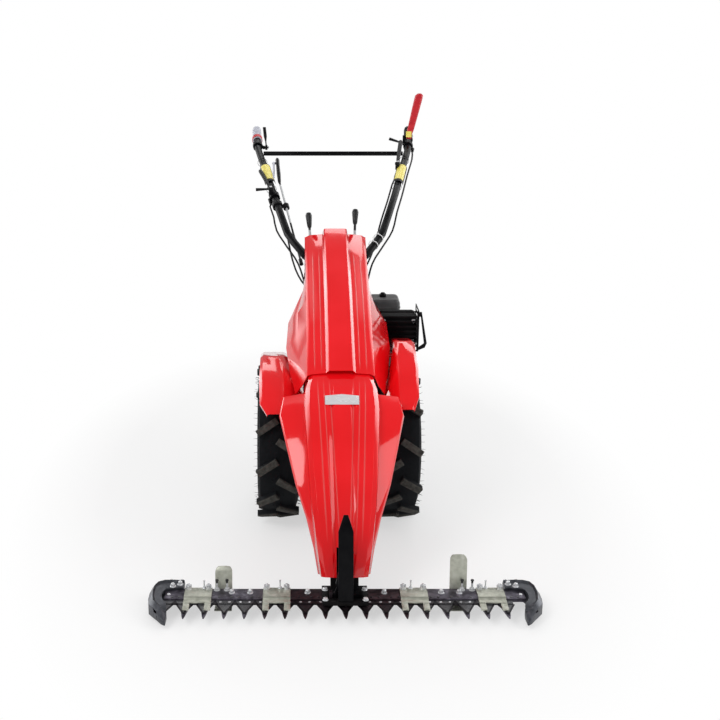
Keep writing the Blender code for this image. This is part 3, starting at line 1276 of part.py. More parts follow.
def make_throttle():
    clamp = start_clamp("throttle_clamp", -1, STOP_BACK, BLACK_PAINT)
    centre = tube_at(-1, STOP_BACK)[0]
    axis = Vector((1, 0, 0))
    elbow = Vector((centre.x + 0.0205, THROTTLE_PIVOT.y, THROTTLE_PIVOT.z))
    join(clamp, rod(Vector((centre.x + 0.0155, centre.y, centre.z)), elbow, 0.0045, 10))
    join(clamp, rod(elbow - axis * 0.002, THROTTLE_PIVOT - axis * (0.004 + RUNNING), 0.0065, 10))
    join(clamp, rod(elbow, THROTTLE_PIVOT + axis * 0.006, LEVER_PIN, 10))
    join(clamp, ferrule("throttle"))
    finish_clamp(clamp, -1, STOP_BACK)
    length = (THROTTLE_TIP - THROTTLE_PIVOT).length
    widths = [(0.05, 0.004, 0.0025), (0.30, 0.004, 0.0025), (0.55, 0.0085, 0.006), (1.0, 0.0085, 0.006)]
    lever("throttle_lever", THROTTLE_PIVOT, axis, THROTTLE_TIP - THROTTLE_PIVOT, length, widths, 0.008,
          BLACK_PLASTIC)


def make_side_lever(name, clamp_name, cable, side, back, pivot, tip, stick):
    """Lever that lies along a handle and turns on an upright pin."""
    clamp = start_clamp(clamp_name, side, back, BLACK_PAINT)
    centre = tube_at(side, back)[0]
    up = Vector((0, 0, 1))
    join(clamp, rod(Vector((pivot.x, pivot.y, centre.z + 0.006)), pivot - up * (0.004 + RUNNING), 0.0075, 10))
    join(clamp, rod(pivot - up * 0.008, pivot + up * 0.006, LEVER_PIN, 10))
    join(clamp, ferrule(cable))
    finish_clamp(clamp, side, back)
    length = (tip - pivot).length
    widths = [(0.02, 0.005, 0.003), (0.15, 0.006, 0.003), (0.50, 0.0075, 0.005), (0.95, 0.0075, 0.006),
              (1.0, 0.005, 0.004)]
    tail = rod(stick[0], stick[1], 0.0032, 10, 0.0055)
    lever(name, pivot, up, tip - pivot, length, widths, 0.008, BLACK_PLASTIC, tail)


def make_levers():
    make_stop_lever()
    make_throttle()
    away = Vector((-1, 0.0, -0.05))
    make_side_lever("brake_lever", "brake_clamp", "brake", -1, BRAKE_BACK, BRAKE_PIVOT, BRAKE_TIP,
                    (BRAKE_PIVOT + away * 0.0065, BRAKE_PIVOT + away * 0.050))
    start = CLUTCH_PIVOT.lerp(CLUTCH_TIP, 0.93)
    make_side_lever("clutch_lever", "clutch_clamp", "clutch", 1, CLUTCH_BACK, CLUTCH_PIVOT, CLUTCH_TIP,
                    (start, start + Vector((-0.040, 0.010, 0.012))))


# Gear rods and the shift handle

def make_gear_rods():
    """Bent selector rods that slide in the gearbox, each with a moulded knob."""
    for name, side in (("left", -1), ("right", 1)):
        foot, top = ROD_FEET[side], ROD_TOPS[side]
        out = rod_direction(side)
        along = (top - ROD_BENDS[side][1]).normalized()
        bends = list(ROD_BENDS[side])
        upper = smooth_route([foot + out * 0.055] + bends + [top - along * 0.030], 0.075)
        route = [foot - out * 0.008] + upper
        item = add_object("gear_rod_" + name, swept(route, circle(GEAR_ROD_RADIUS, 10)), ZINC, 40)
        profile = [(0.0, 0.0), (KNOB_RADIUS * 0.55, 0.0), (KNOB_RADIUS * 0.7, 0.006),
                   (KNOB_RADIUS, KNOB_LENGTH * 0.8), (KNOB_RADIUS * 0.75, KNOB_LENGTH * 0.97),
                   (0.0, KNOB_LENGTH)]
        join(item, turned(profile, top - along * (KNOB_LENGTH - 0.004), along, 12))
        set_pivot(item, foot)


SHIFT_LOW = Vector((-0.1060, 0.332, 0.7000))
SHIFT_HIGH = Vector((-0.1790, 0.660, 0.9130))
SHIFT_TOP = Vector((-0.1870, 0.722, 0.9830))


def shift_rod_at(back):
    share = (back - SHIFT_LOW.y) / (SHIFT_HIGH.y - SHIFT_LOW.y)
    return SHIFT_LOW.lerp(SHIFT_HIGH, share)


def make_shift():
    """Hand lever on a long rod, its squeeze trigger, and the clamp that guides the rod."""
    along = (SHIFT_HIGH - SHIFT_LOW).normalized()
    item = add_object("shift_rod", rod(SHIFT_LOW, SHIFT_HIGH + along * 0.006, 0.0035, 10), ZINC, 40)
    join(item, rod(SHIFT_LOW - along * 0.002, SHIFT_LOW + along * 0.020, 0.0065, 10))
    up = (SHIFT_TOP - SHIFT_HIGH).normalized()
    rings = []
    side = Vector((1, 0, 0))
    for share, half in ((-0.05, 0.005), (0.0, 0.0065), (0.35, 0.0085), (0.7, 0.0075), (0.95, 0.0085),
                        (1.0, 0.006)):
        centre = SHIFT_HIGH.lerp(SHIFT_TOP, share)
        rings.append([centre + side * u * 0.8 + up.cross(side) * v for u, v in circle(half, 10)])
    join(item, loft(rings))
    pivot = SHIFT_HIGH.lerp(SHIFT_TOP, 0.80) + Vector((-0.0135, 0.0, 0.0))
    lug_root = SHIFT_HIGH.lerp(SHIFT_TOP, 0.80)
    join(item, rod(lug_root, pivot + Vector((0.0045, 0, 0)), 0.004, 8))
    join(item, rod(pivot + Vector((0.006, 0, 0)), pivot - Vector((0.005, 0, 0)), 0.0022, 8))
    set_pivot(item, shift_rod_at(GUIDE_BACK))
    end = pivot + Vector((0.0, -0.030, -0.046))
    direction = (end - pivot)
    widths = [(0.04, 0.0035, 0.003), (0.5, 0.0045, 0.004), (1.0, 0.0035, 0.003)]
    axis = Vector((1, 0, 0))
    rings = []
    across = axis.cross(direction.normalized())
    for share, half, thick in widths:
        centre = pivot + direction * share
        rings.append([centre + across * half * u + axis * thick * v for u, v in circle(1.0, 8)])
    trigger = add_object("shift_trigger", loft(rings), PALE_PLASTIC, 45)
    join(trigger, rod(pivot - axis * 0.004, pivot + axis * 0.004, 0.0055, 12))
    cut(trigger, rod(pivot - axis * 0.02, pivot + axis * 0.02, 0.0025, 8))
    set_pivot(trigger, pivot)
    guide = start_clamp("shift_guide", -1, GUIDE_BACK, BLACK_PLASTIC, 0.018)
    centre = tube_at(-1, GUIDE_BACK)[0]
    here = shift_rod_at(GUIDE_BACK)
    bridge = (here - centre).normalized()
    join(guide, rod(centre + bridge * 0.0145, here - bridge * 0.006, 0.0065, 10))
    join(guide, rod(here - along * 0.009, here + along * 0.009, 0.0105, 14))
    finish_clamp(guide, -1, GUIDE_BACK)
    cut(guide, rod(here - along * 0.03, here + along * 0.03, 0.0035 + FIT, 10))


CABLE_MIDDLES = {
    "throttle": [(-0.134, 0.392, 0.698), (-0.106, 0.318, 0.648), (-0.070, 0.240, 0.628)],
    "brake": [(-0.186, 0.464, 0.782), (-0.152, 0.386, 0.744), (-0.116, 0.302, 0.706), (-0.088, 0.200, 0.640)],
    "clutch": [(0.124, 0.392, 0.732), (0.098, 0.318, 0.694), (0.068, 0.240, 0.650)],
    "stop": [(0.191, 0.464, 0.782), (0.154, 0.386, 0.744), (0.116, 0.302, 0.706), (0.088, 0.200, 0.640)]}
CABLE_ENDS = {"throttle": (-1, 1), "brake": (-1, 0), "clutch": (1, 1), "stop": (1, 0)}
CABLE_FOLLOWS = {"throttle": (0.940, 0.800, 0.640, 0.590, 0.556, 0.510), "brake": (0.570, 0.545, 0.510),
                 "clutch": (0.720, 0.600, 0.500), "stop": (0.940, 0.800, 0.640, 0.540)}


def cable_points(cable):
    """Hand-chosen way of a control cable: along the handle, then down to its stop on the column."""
    side, offset = CABLE_OFFSETS[cable]
    start = CABLE_STARTS[cable]
    centre, direction = tube_at(side, start)
    first = centre + offset - direction * FIT
    points = [first, first - direction * 0.004]
    for back in CABLE_FOLLOWS[cable]:
        points.append(tube_at(side, back)[0] + offset * CABLE_SPREAD)
    points += [Vector(p) for p in CABLE_MIDDLES[cable]]
    y, z = CABLE_STOPS[CABLE_ENDS[cable]]
    end = side * (STOP_REACH + FIT)
    points += [Vector((end + side * 0.012, y, z)), Vector((end, y, z))]
    return points


def make_cables():
    for cable in CABLE_OFFSETS:
        route = smooth_route(cable_points(cable), 0.034)
        curve = bpy.data.curves.new("cable_" + cable, "CURVE")
        curve.dimensions = "3D"
        curve.bevel_depth = CABLE_RADIUS
        curve.bevel_resolution = 2
        curve.use_fill_caps = True
        spline = curve.splines.new("POLY")
        spline.points.add(len(route) - 1)
        for point, place in zip(spline.points, route):
            point.co = (*place, 1.0)
        item = bpy.data.objects.new("cable_" + cable, curve)
        curve.materials.append(BLACK_PLASTIC)
        bpy.context.collection.objects.link(item)
        item.parent = MACHINE


def share_pivots():
    """Give the pieces that move together the origin of the joint that carries them."""
    wheel_set = ["axle", "tyre_left", "tyre_right", "rim_left", "rim_right"]
    cutter_bar = ["drive_head", "grass_divider", "finger_bar", "end_shoe_left", "end_shoe_right",
                  "skid_left", "skid_right", "hold_down_1", "hold_down_2", "hold_down_3", "hold_down_4"]
    handlebar = ["handlebar_hub", "handle_left", "handle_right", "grip_left", "grip_right", "crossbar",
                 "stop_clamp", "throttle_clamp", "brake_clamp", "clutch_clamp", "shift_guide",
                 "cable_throttle", "cable_brake", "cable_clutch", "cable_stop"]
    groups = [(wheel_set, (0, 0, WHEEL_RADIUS)), (cutter_bar, (0, HEAD_BACK, DRIVE_AXIS_HEIGHT)),
              (["knife"], (0, ARM_PLANE, ROLLER_HEIGHT)), (handlebar, TILT)]
    for names, pivot in groups:
        for name in names:
            set_pivot(bpy.data.objects[name], pivot)


def build_all():
    make_wheels()
    make_gearbox()
    make_bell_housing()
    make_drive_tube()
    make_drive_head()
    make_grass_divider()
    make_finger_bar()
    make_knife()
    make_knife_arm()
    make_end_shoe("end_shoe_left", -1)
    make_end_shoe("end_shoe_right", 1)
    make_clips()
    make_skids()
    make_hood_upper()
    make_hood_lower()
    make_hood_bracket()
    make_badge()
    make_mudguard("mudguard_left", -1)
    make_mudguard("mudguard_right", 1)
    make_crankcase()
    make_cylinder()
    make_fan_housing()
    make_starter_grip()
    make_tank()
    make_tank_cap()
    make_air_cleaner()
    make_muffler()
    make_muffler_guard()
    make_column()
    make_hub()
    make_handles()
    make_crossbar()
    make_levers()
    make_gear_rods()
    make_shift()
    make_cables()
    share_pivots()


build_all()
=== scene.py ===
"""Motor mower: finishes, small pieces, camera and light.

Metres, +Z up. The cutter bar is towards -Y, the handles towards +Y, the cylinder leans to +X.
"""
import json
import math

import bmesh
import bpy
from mathutils import Matrix, Vector

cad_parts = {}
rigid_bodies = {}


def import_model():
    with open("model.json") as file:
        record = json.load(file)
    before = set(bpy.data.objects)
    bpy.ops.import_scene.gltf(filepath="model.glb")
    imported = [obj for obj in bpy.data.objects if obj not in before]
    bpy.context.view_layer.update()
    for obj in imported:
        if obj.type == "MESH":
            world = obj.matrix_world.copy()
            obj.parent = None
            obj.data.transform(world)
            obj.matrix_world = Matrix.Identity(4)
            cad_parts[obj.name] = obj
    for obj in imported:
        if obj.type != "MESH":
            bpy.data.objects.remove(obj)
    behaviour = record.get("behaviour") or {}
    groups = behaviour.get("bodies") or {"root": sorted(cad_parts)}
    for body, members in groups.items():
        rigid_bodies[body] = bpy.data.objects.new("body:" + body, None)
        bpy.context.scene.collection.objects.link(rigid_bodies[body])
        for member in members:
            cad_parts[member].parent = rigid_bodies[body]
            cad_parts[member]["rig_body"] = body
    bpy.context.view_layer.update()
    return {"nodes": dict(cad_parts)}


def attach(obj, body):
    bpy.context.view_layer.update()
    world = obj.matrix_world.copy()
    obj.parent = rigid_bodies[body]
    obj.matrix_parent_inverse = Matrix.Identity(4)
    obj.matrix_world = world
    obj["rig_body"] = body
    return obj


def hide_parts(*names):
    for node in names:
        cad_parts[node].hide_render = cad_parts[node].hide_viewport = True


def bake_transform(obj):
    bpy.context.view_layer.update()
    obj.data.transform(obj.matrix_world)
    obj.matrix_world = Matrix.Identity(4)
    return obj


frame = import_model()
nodes = frame["nodes"]

# Places on the machine
AXLE_BACK = -0.239
AXLE_HEIGHT = 0.230
FINGER_PITCH = 0.0508
TYRE_CENTRE = 0.1765
BAR_TOP = 0.040
DRIVE_HEIGHT = 0.205
CRANK_HEIGHT = 0.345


# Finishes

def new_finish(name, colour, roughness, metallic=0.0, coat=0.0, sheen=0.5):
    finish = bpy.data.materials.new(name)
    finish.use_nodes = True
    shader = finish.node_tree.nodes["Principled BSDF"]
    shader.inputs["Base Color"].default_value = (*colour, 1.0)
    shader.inputs["Roughness"].default_value = roughness
    shader.inputs["Metallic"].default_value = metallic
    shader.inputs["Coat Weight"].default_value = coat
    shader.inputs["Coat Roughness"].default_value = 0.06
    shader.inputs["Specular IOR Level"].default_value = sheen
    return finish


def place_of(finish):
    """Object coordinates, made once for each finish."""
    tree = finish.node_tree
    found = tree.nodes.get("place")
    if found is None:
        found = tree.nodes.new("ShaderNodeTexCoord")
        found.name = "place"
    return found.outputs["Object"]


def grain(finish, scale, detail=3.0, stretch=(1, 1, 1)):
    """Noise at a scale, stretched where the finish runs one way."""
    tree = finish.node_tree
    mapping = tree.nodes.new("ShaderNodeMapping")
    mapping.inputs["Scale"].default_value = stretch
    tree.links.new(place_of(finish), mapping.inputs["Vector"])
    texture = tree.nodes.new("ShaderNodeTexNoise")
    texture.inputs["Scale"].default_value = scale
    texture.inputs["Detail"].default_value = detail
    tree.links.new(mapping.outputs["Vector"], texture.inputs["Vector"])
    return texture.outputs["Fac"]


def ramp(finish, factor, stops):
    """Colours along a factor, as (place, colour) stops."""
    tree = finish.node_tree
    node = tree.nodes.new("ShaderNodeValToRGB")
    steps = node.color_ramp.elements
    while len(steps) < len(stops):
        steps.new(0.5)
    for step, (place, colour) in zip(steps, stops):
        step.position = place
        step.color = (*colour, 1.0)
    tree.links.new(factor, node.inputs["Fac"])
    return node.outputs["Color"]


def arithmetic(finish, operation, first, second=None):
    """One arithmetic step between sockets or numbers."""
    tree = finish.node_tree
    node = tree.nodes.new("ShaderNodeMath")
    node.operation = operation
    for slot, value in zip(node.inputs, (first, second)):
        if isinstance(value, (int, float)):
            slot.default_value = value
        elif value is not None:
            tree.links.new(value, slot)
    return node.outputs[0]


def plus(finish, first, second):
    return arithmetic(finish, "ADD", first, second)


def minus(finish, first, second):
    return arithmetic(finish, "SUBTRACT", first, second)


def times(finish, first, second):
    return arithmetic(finish, "MULTIPLY", first, second)


def over(finish, first, second):
    return arithmetic(finish, "DIVIDE", first, second)


def larger(finish, first, second):
    return arithmetic(finish, "MAXIMUM", first, second)


def below(finish, value, limit):
    return arithmetic(finish, "LESS_THAN", value, limit)


def absolute(finish, value):
    return arithmetic(finish, "ABSOLUTE", value)


def fade(finish, value, low, high):
    """0 below low, 1 above high, an even slope between them."""
    tree = finish.node_tree
    node = tree.nodes.new("ShaderNodeMapRange")
    node.inputs["From Min"].default_value = low
    node.inputs["From Max"].default_value = high
    tree.links.new(value, node.inputs["Value"])
    return node.outputs["Result"]


def axes(finish):
    """The three coordinates as separate values."""
    tree = finish.node_tree
    node = tree.nodes.new("ShaderNodeSeparateXYZ")
    tree.links.new(place_of(finish), node.inputs["Vector"])
    return node.outputs["X"], node.outputs["Y"], node.outputs["Z"]


def mixed(finish, factor, first, second):
    """The first colour where the factor is 0, the second where it is 1."""
    tree = finish.node_tree
    node = tree.nodes.new("ShaderNodeMix")
    node.data_type = "RGBA"
    tree.links.new(factor, node.inputs[0])
    for slot, value in ((node.inputs[6], first), (node.inputs[7], second)):
        if isinstance(value, tuple):
            slot.default_value = (*value, 1.0)
        else:
            tree.links.new(value, slot)
    return node.outputs[2]


def tinted(finish, colour, tint):
    """A colour darkened by a tint."""
    node = finish.node_tree.nodes.new("ShaderNodeMix")
    node.data_type = "RGBA"
    node.blend_type = "MULTIPLY"
    node.inputs[0].default_value = 1.0
    finish.node_tree.links.new(colour, node.inputs[6])
    finish.node_tree.links.new(tint, node.inputs[7])
    return node.outputs[2]


def wear(finish, colour, roughness, bump=None):
    """Connect a colour, a roughness range over a grain, and bumps as (height, strength, distance)."""
    tree = finish.node_tree
    shader = tree.nodes["Principled BSDF"]
    tree.links.new(colour, shader.inputs["Base Color"])
    factor, low, high = roughness
    node = tree.nodes.new("ShaderNodeMapRange")
    node.inputs["From Min"].default_value = 0.3
    node.inputs["From Max"].default_value = 0.7
    node.inputs["To Min"].default_value = low
    node.inputs["To Max"].default_value = high
    tree.links.new(factor, node.inputs["Value"])
    tree.links.new(node.outputs["Result"], shader.inputs["Roughness"])
    if bump is not None:
        height, strength, distance = bump
        node = tree.nodes.new("ShaderNodeBump")
        node.inputs["Strength"].default_value = strength
        node.inputs["Distance"].default_value = distance
        tree.links.new(height, node.inputs["Height"])
        tree.links.new(node.outputs["Normal"], shader.inputs["Normal"])
    return finish


def ridge(finish, value, centre, half):
    """A smooth hump of height 1 round a centre."""
    away = absolute(finish, minus(finish, value, centre))
    slope = larger(finish, minus(finish, 1.0, over(finish, away, half)), 0.0)
    return times(finish, slope, slope)


def ridges(finish, value, humps):
    """Humps side by side, each as (centre, half width)."""
    total = 0.0
    for centre, half in humps:
        total = plus(finish, total, ridge(finish, value, centre, half))
    return total


# Flutes of the hoods, as (distance from the middle, half width). The lower hood's part with height.
LOW_FLUTES = ((0.014, 0.0030), (0.030, 0.0030), (0.046, 0.0034))
HIGH_FLUTES = ((0.053, 0.0034), (0.072, 0.0034))
FLUTES_MEET = 0.20
FLUTES_PART = 0.065
HOOD_TOP_HALF = 0.095


def hood_flutes(finish):
    """Long shallow flutes of both hoods: they close up towards the nose of the lower one."""
    x, y, z = axes(finish)
    beside = absolute(finish, x)
    spread = times(finish, minus(finish, z, FLUTES_MEET), FLUTES_PART)
    low_flutes = ridges(finish, minus(finish, beside, spread), LOW_FLUTES)
    on_nose = times(finish, fade(finish, z, 0.17, 0.24), fade(finish, z, 0.505, 0.47))
    on_front = times(finish, on_nose, fade(finish, y, -0.47, -0.50))
    on_top = times(finish, fade(finish, y, -0.455, -0.43), fade(finish, y, 0.03, -0.02))
    on_crown = times(finish, on_top, below(finish, beside, HOOD_TOP_HALF))
    high_flutes = ridges(finish, beside, HIGH_FLUTES)
    return plus(finish, times(finish, low_flutes, on_front), times(finish, high_flutes, on_crown))


# Painted highlight: a pale red mixed into the hood's colour along the tops of its flutes
FLUTE_HIGHLIGHT_RED = (1.0, 0.28, 0.26)


def moulded_red():
    """Glossy moulded hood plastic, with painted shade that darkens it towards the floor and a painted
    highlight along the tops of its flutes.
    """
    finish = new_finish("moulded_red", (0.90, 0.006, 0.012), 0.2, coat=1.0, sheen=0.1)
    cloud = grain(finish, 7.0, 2.0)
    height = axes(finish)[2]
    colour = ramp(finish, cloud, [(0.25, (0.86, 0.003, 0.006)), (0.75, (0.96, 0.008, 0.014))])
    # Painted shade: the hood's colour is darkened to 0.8 of itself from a height of 0.32 down to 0.08
    low = ramp(finish, fade(finish, height, 0.08, 0.32), [(0.0, (0.80, 0.80, 0.80)), (1.0, (1, 1, 1))])
    flutes = hood_flutes(finish)
    # Painted highlight: up to 0.4 of the pale red along the tops of the flutes
    flute_highlighted_colour = mixed(finish, times(finish, flutes, 0.4), tinted(finish, colour, low), FLUTE_HIGHLIGHT_RED)
    skin = times(finish, grain(finish, 9.0, 1.0), 0.10)
    return wear(finish, flute_highlighted_colour, (cloud, 0.12, 0.22), (plus(finish, flutes, skin), 1.0, 0.0014))


def lever_red():
    """Red grip rubber of the stop lever and the left collar."""
    finish = new_finish("lever_red", (0.60, 0.020, 0.030), 0.42, sheen=0.3)
    skin = grain(finish, 900.0, 2.0)
    colour = ramp(finish, grain(finish, 60.0), [(0.3, (0.54, 0.014, 0.024)), (0.7, (0.66, 0.026, 0.036))])
    return wear(finish, colour, (skin, 0.36, 0.5), (skin, 0.2, 0.0004))


def black_paint():
    """Semi-gloss paint on steel with dust in its orange peel."""
    finish = new_finish("black_paint", (0.005, 0.005, 0.006), 0.35, sheen=0.08)
    peel = grain(finish, 420.0, 2.0)
    dust = grain(finish, 22.0, 4.0)
    colour = ramp(finish, dust, [(0.35, (0.002, 0.002, 0.003)), (0.75, (0.008, 0.008, 0.009))])
    return wear(finish, colour, (dust, 0.26, 0.42), (peel, 0.05, 0.0002))


def black_casting():
    """Painted sand casting with dust in its grain."""
    finish = new_finish("black_casting", (0.005, 0.005, 0.006), 0.5, sheen=0.08)
    sand = grain(finish, 520.0, 4.0)
    dust = grain(finish, 16.0, 4.0)
    colour = ramp(finish, dust, [(0.35, (0.002, 0.002, 0.003)), (0.8, (0.009, 0.008, 0.008))])
    return wear(finish, colour, (dust, 0.45, 0.62), (sand, 0.4, 0.0008))


def bare_casting():
    """Bare light alloy, stained in clouds."""
    finish = new_finish("bare_casting", (0.40, 0.41, 0.42), 0.45, metallic=0.8)
    sand = grain(finish, 620.0, 4.0)
    stain = grain(finish, 18.0, 5.0)
    colour = ramp(finish, stain, [(0.3, (0.30, 0.30, 0.30)), (0.7, (0.50, 0.51, 0.52))])
    return wear(finish, colour, (stain, 0.38, 0.56), (sand, 0.45, 0.0009))


# Painted shade where the hold-downs step down at the bar's front edge: place and half width
ZINC_BEND_SHADE = (-0.8725, 0.0040)
ZINC_BEND_SHADE_TOP = 0.06


def zinc_plate():
    """Dull greenish zinc with cloudy passivation, and painted shade where the hold-downs step down."""
    finish = new_finish("zinc_plate", (0.46, 0.47, 0.40), 0.38, metallic=0.55)
    cloud = grain(finish, 70.0, 4.0)
    colour = ramp(finish, cloud, [(0.3, (0.42, 0.43, 0.36)), (0.55, (0.54, 0.55, 0.47)),
                                  (0.8, (0.66, 0.66, 0.60))])
    y, z = axes(finish)[1:]
    # Painted shade: a dark band where the hold-downs step down, below a height
    bend_shade = times(finish, ridge(finish, y, *ZINC_BEND_SHADE), below(finish, z, ZINC_BEND_SHADE_TOP))
    shaded = mixed(finish, times(finish, bend_shade, 0.9), colour, (0.14, 0.14, 0.11))
    fine = grain(finish, 1500.0, 2.0)
    return wear(finish, shaded, (cloud, 0.32, 0.5), (fine, 0.1, 0.0003))


def bright_steel():
    """Turned and plated screws, rods and the axle."""
    finish = new_finish("bright_steel", (0.80, 0.81, 0.83), 0.28, metallic=0.5)
    lines = grain(finish, 900.0, 2.0, (1, 0.15, 0.15))
    colour = ramp(finish, grain(finish, 120.0), [(0.3, (0.66, 0.67, 0.69)), (0.7, (0.90, 0.91, 0.93))])
    return wear(finish, colour, (lines, 0.18, 0.32), (lines, 0.1, 0.0002))


def bar_steel():
    """The finger bar: lilac mill scale outside, darker and browner near the drive head."""
    finish = new_finish("bar_steel", (0.2, 0.18, 0.21), 0.36, metallic=0.7)
    across = absolute(finish, axes(finish)[0])
    cloud = grain(finish, 55.0, 5.0)
    outer = ramp(finish, cloud, [(0.3, (0.050, 0.044, 0.060)), (0.55, (0.130, 0.118, 0.150)),
                                 (0.8, (0.36, 0.34, 0.40))])
    inner = ramp(finish, cloud, [(0.3, (0.022, 0.012, 0.016)), (0.75, (0.085, 0.048, 0.058))])
    colour = mixed(finish, fade(finish, across, 0.17, 0.26), inner, outer)
    lines = grain(finish, 300.0, 3.0, (0.1, 1, 1))
    return wear(finish, colour, (cloud, 0.28, 0.5), (lines, 0.15, 0.0005))


# The ground edge of a knife section: where it starts, half the section there, its slope and its width
SECTION_START = -0.8896
SECTION_HALF = 0.0222
SECTION_SLOPE = 0.44
GROUND_EDGE = (0.0038, 0.0052)


def knife_steel():
    """Knife sections: grey faces, dark ground edges that follow each triangle."""
    finish = new_finish("knife_steel", (0.10, 0.10, 0.105), 0.4, metallic=0.65)
    x, y = axes(finish)[:2]
    turns = over(finish, x, FINGER_PITCH)
    offset = minus(finish, turns, arithmetic(finish, "ROUND", turns))
    beside = times(finish, absolute(finish, offset), FINGER_PITCH)
    down = minus(finish, SECTION_START, y)
    half = minus(finish, SECTION_HALF, times(finish, down, SECTION_SLOPE))
    inside = minus(finish, half, beside)
    edge = fade(finish, inside, *GROUND_EDGE)
    speck = grain(finish, 700.0, 4.0)
    face = ramp(finish, speck, [(0.35, (0.055, 0.055, 0.060)), (0.65, (0.21, 0.21, 0.22))])
    ground = ramp(finish, speck, [(0.3, (0.010, 0.009, 0.011)), (0.8, (0.035, 0.030, 0.036))])
    colour = mixed(finish, edge, ground, face)
    dark = ramp(finish, fade(finish, absolute(finish, x), 0.14, 0.30),
                [(0.0, (0.25, 0.17, 0.20)), (1.0, (1, 1, 1))])
    return wear(finish, tinted(finish, colour, dark), (speck, 0.34, 0.5), (speck, 0.3, 0.0005))


def shoe_iron():
    """Dark cast iron, polished bluish where it has slid through grass."""
    finish = new_finish("shoe_iron", (0.06, 0.065, 0.075), 0.4, metallic=0.6)
    cloud = grain(finish, 38.0, 5.0)
    sand = grain(finish, 480.0, 3.0)
    colour = ramp(finish, cloud, [(0.3, (0.030, 0.033, 0.038)), (0.55, (0.070, 0.074, 0.086)),
                                  (0.8, (0.15, 0.155, 0.175))])
    return wear(finish, colour, (cloud, 0.26, 0.46), (sand, 0.3, 0.0006))


# Radii of the tyre where its wall's rings end and where its lugs start and end, and the rings' closeness
SIDE_WALL_TOP = 0.205
LUG_FOOT = 0.2215
LUG_CROWN = 0.2265
WALL_RINGS = 1500.0


def tyre_rubber():
    """Black side walls with dusty grey crowns on the lugs."""
    finish = new_finish("tyre_rubber", (0.008, 0.008, 0.009), 0.8, sheen=0.14)
    y, z = axes(finish)[1:]
    back = minus(finish, y, AXLE_BACK)
    up = minus(finish, z, AXLE_HEIGHT)
    square = plus(finish, times(finish, back, back), times(finish, up, up))
    radius = arithmetic(finish, "SQRT", square)
    cloud = grain(finish, 90.0, 5.0)
    lug = ramp(finish, cloud, [(0.3, (0.030, 0.029, 0.026)), (0.7, (0.085, 0.082, 0.074))])
    wall = ramp(finish, cloud, [(0.3, (0.002, 0.003, 0.004)), (0.7, (0.009, 0.010, 0.012))])
    colour = mixed(finish, fade(finish, radius, LUG_FOOT, LUG_CROWN), wall, lug)
    rings = arithmetic(finish, "SINE", times(finish, radius, WALL_RINGS))
    low = below(finish, radius, SIDE_WALL_TOP)
    lines = times(finish, rings, low)
    height = plus(finish, times(finish, lines, 0.4), cloud)
    return wear(finish, colour, (cloud, 0.68, 0.92), (height, 0.25, 0.0009))


def rim_paint():
    """Pale silver paint with fine flakes."""
    finish = new_finish("rim_paint", (0.55, 0.55, 0.56), 0.36, metallic=0.35)
    flake = grain(finish, 1400.0, 2.0)
    cloud = grain(finish, 12.0, 4.0)
    colour = ramp(finish, cloud, [(0.3, (0.46, 0.46, 0.47)), (0.7, (0.62, 0.62, 0.63))])
    return wear(finish, colour, (cloud, 0.3, 0.46), (flake, 0.08, 0.0003))


def black_plastic():
    """Black moulded plastic and cable jackets with a leather grain."""
    finish = new_finish("black_plastic", (0.007, 0.007, 0.008), 0.5, sheen=0.16)
    leather = grain(finish, 1100.0, 3.0)
    colour = ramp(finish, grain(finish, 40.0), [(0.3, (0.004, 0.004, 0.005)), (0.7, (0.011, 0.011, 0.012))])
    return wear(finish, colour, (leather, 0.42, 0.6), (leather, 0.3, 0.0005))


def tank_black():
    """Glossier black of the fuel tank."""
    finish = new_finish("tank_black", (0.014, 0.014, 0.015), 0.3, coat=0.2, sheen=0.25)
    cloud = grain(finish, 14.0, 3.0)
    peel = grain(finish, 260.0, 2.0)
    colour = ramp(finish, cloud, [(0.3, (0.010, 0.010, 0.011)), (0.7, (0.022, 0.022, 0.024))])
    return wear(finish, colour, (cloud, 0.24, 0.38), (peel, 0.1, 0.0006))


def grey_plastic():
    """Grey plastic of the air cleaner."""
    finish = new_finish("grey_plastic", (0.085, 0.086, 0.088), 0.5)
    skin = grain(finish, 800.0, 3.0)
    colour = ramp(finish, grain(finish, 30.0), [(0.3, (0.070, 0.070, 0.072)), (0.7, (0.105, 0.106, 0.108))])
    return wear(finish, colour, (skin, 0.42, 0.58), (skin, 0.25, 0.0005))


def pale_plastic():
    """Pale lilac rubber of the left grip and the squeeze trigger."""
    finish = new_finish("pale_plastic", (0.62, 0.63, 0.70), 0.45)
    skin = grain(finish, 700.0, 2.0)
    colour = ramp(finish, grain(finish, 45.0), [(0.3, (0.55, 0.56, 0.63)), (0.7, (0.68, 0.69, 0.76))])
    return wear(finish, colour, (skin, 0.4, 0.55), (skin, 0.15, 0.0004))


def plate_silver():
    """Bare silver plate on the lower hood."""
    finish = new_finish("plate_silver", (0.84, 0.84, 0.85), 0.26, metallic=0.3)
    cloud = grain(finish, 40.0, 1.0)
    colour = ramp(finish, cloud, [(0.3, (0.82, 0.82, 0.83)), (0.7, (0.87, 0.87, 0.88))])
    return wear(finish, colour, (cloud, 0.24, 0.30))


def patch_yellow():
    """Bare yellow patches on the handlebar."""
    finish = new_finish("patch_yellow", (0.94, 0.80, 0.15), 0.42)
    cloud = grain(finish, 90.0, 4.0)
    colour = ramp(finish, cloud, [(0.3, (0.88, 0.72, 0.11)), (0.7, (0.96, 0.84, 0.20))])
    return wear(finish, colour, (cloud, 0.36, 0.5), (cloud, 0.06, 0.0003))


def tie_white():
    """White nylon of two cable ties."""
    finish = new_finish("tie_white", (0.82, 0.82, 0.82), 0.4)
    skin = grain(finish, 500.0)
    colour = ramp(finish, skin, [(0.3, (0.76, 0.76, 0.76)), (0.7, (0.86, 0.86, 0.86))])
    return wear(finish, colour, (skin, 0.35, 0.5), (skin, 0.1, 0.0002))


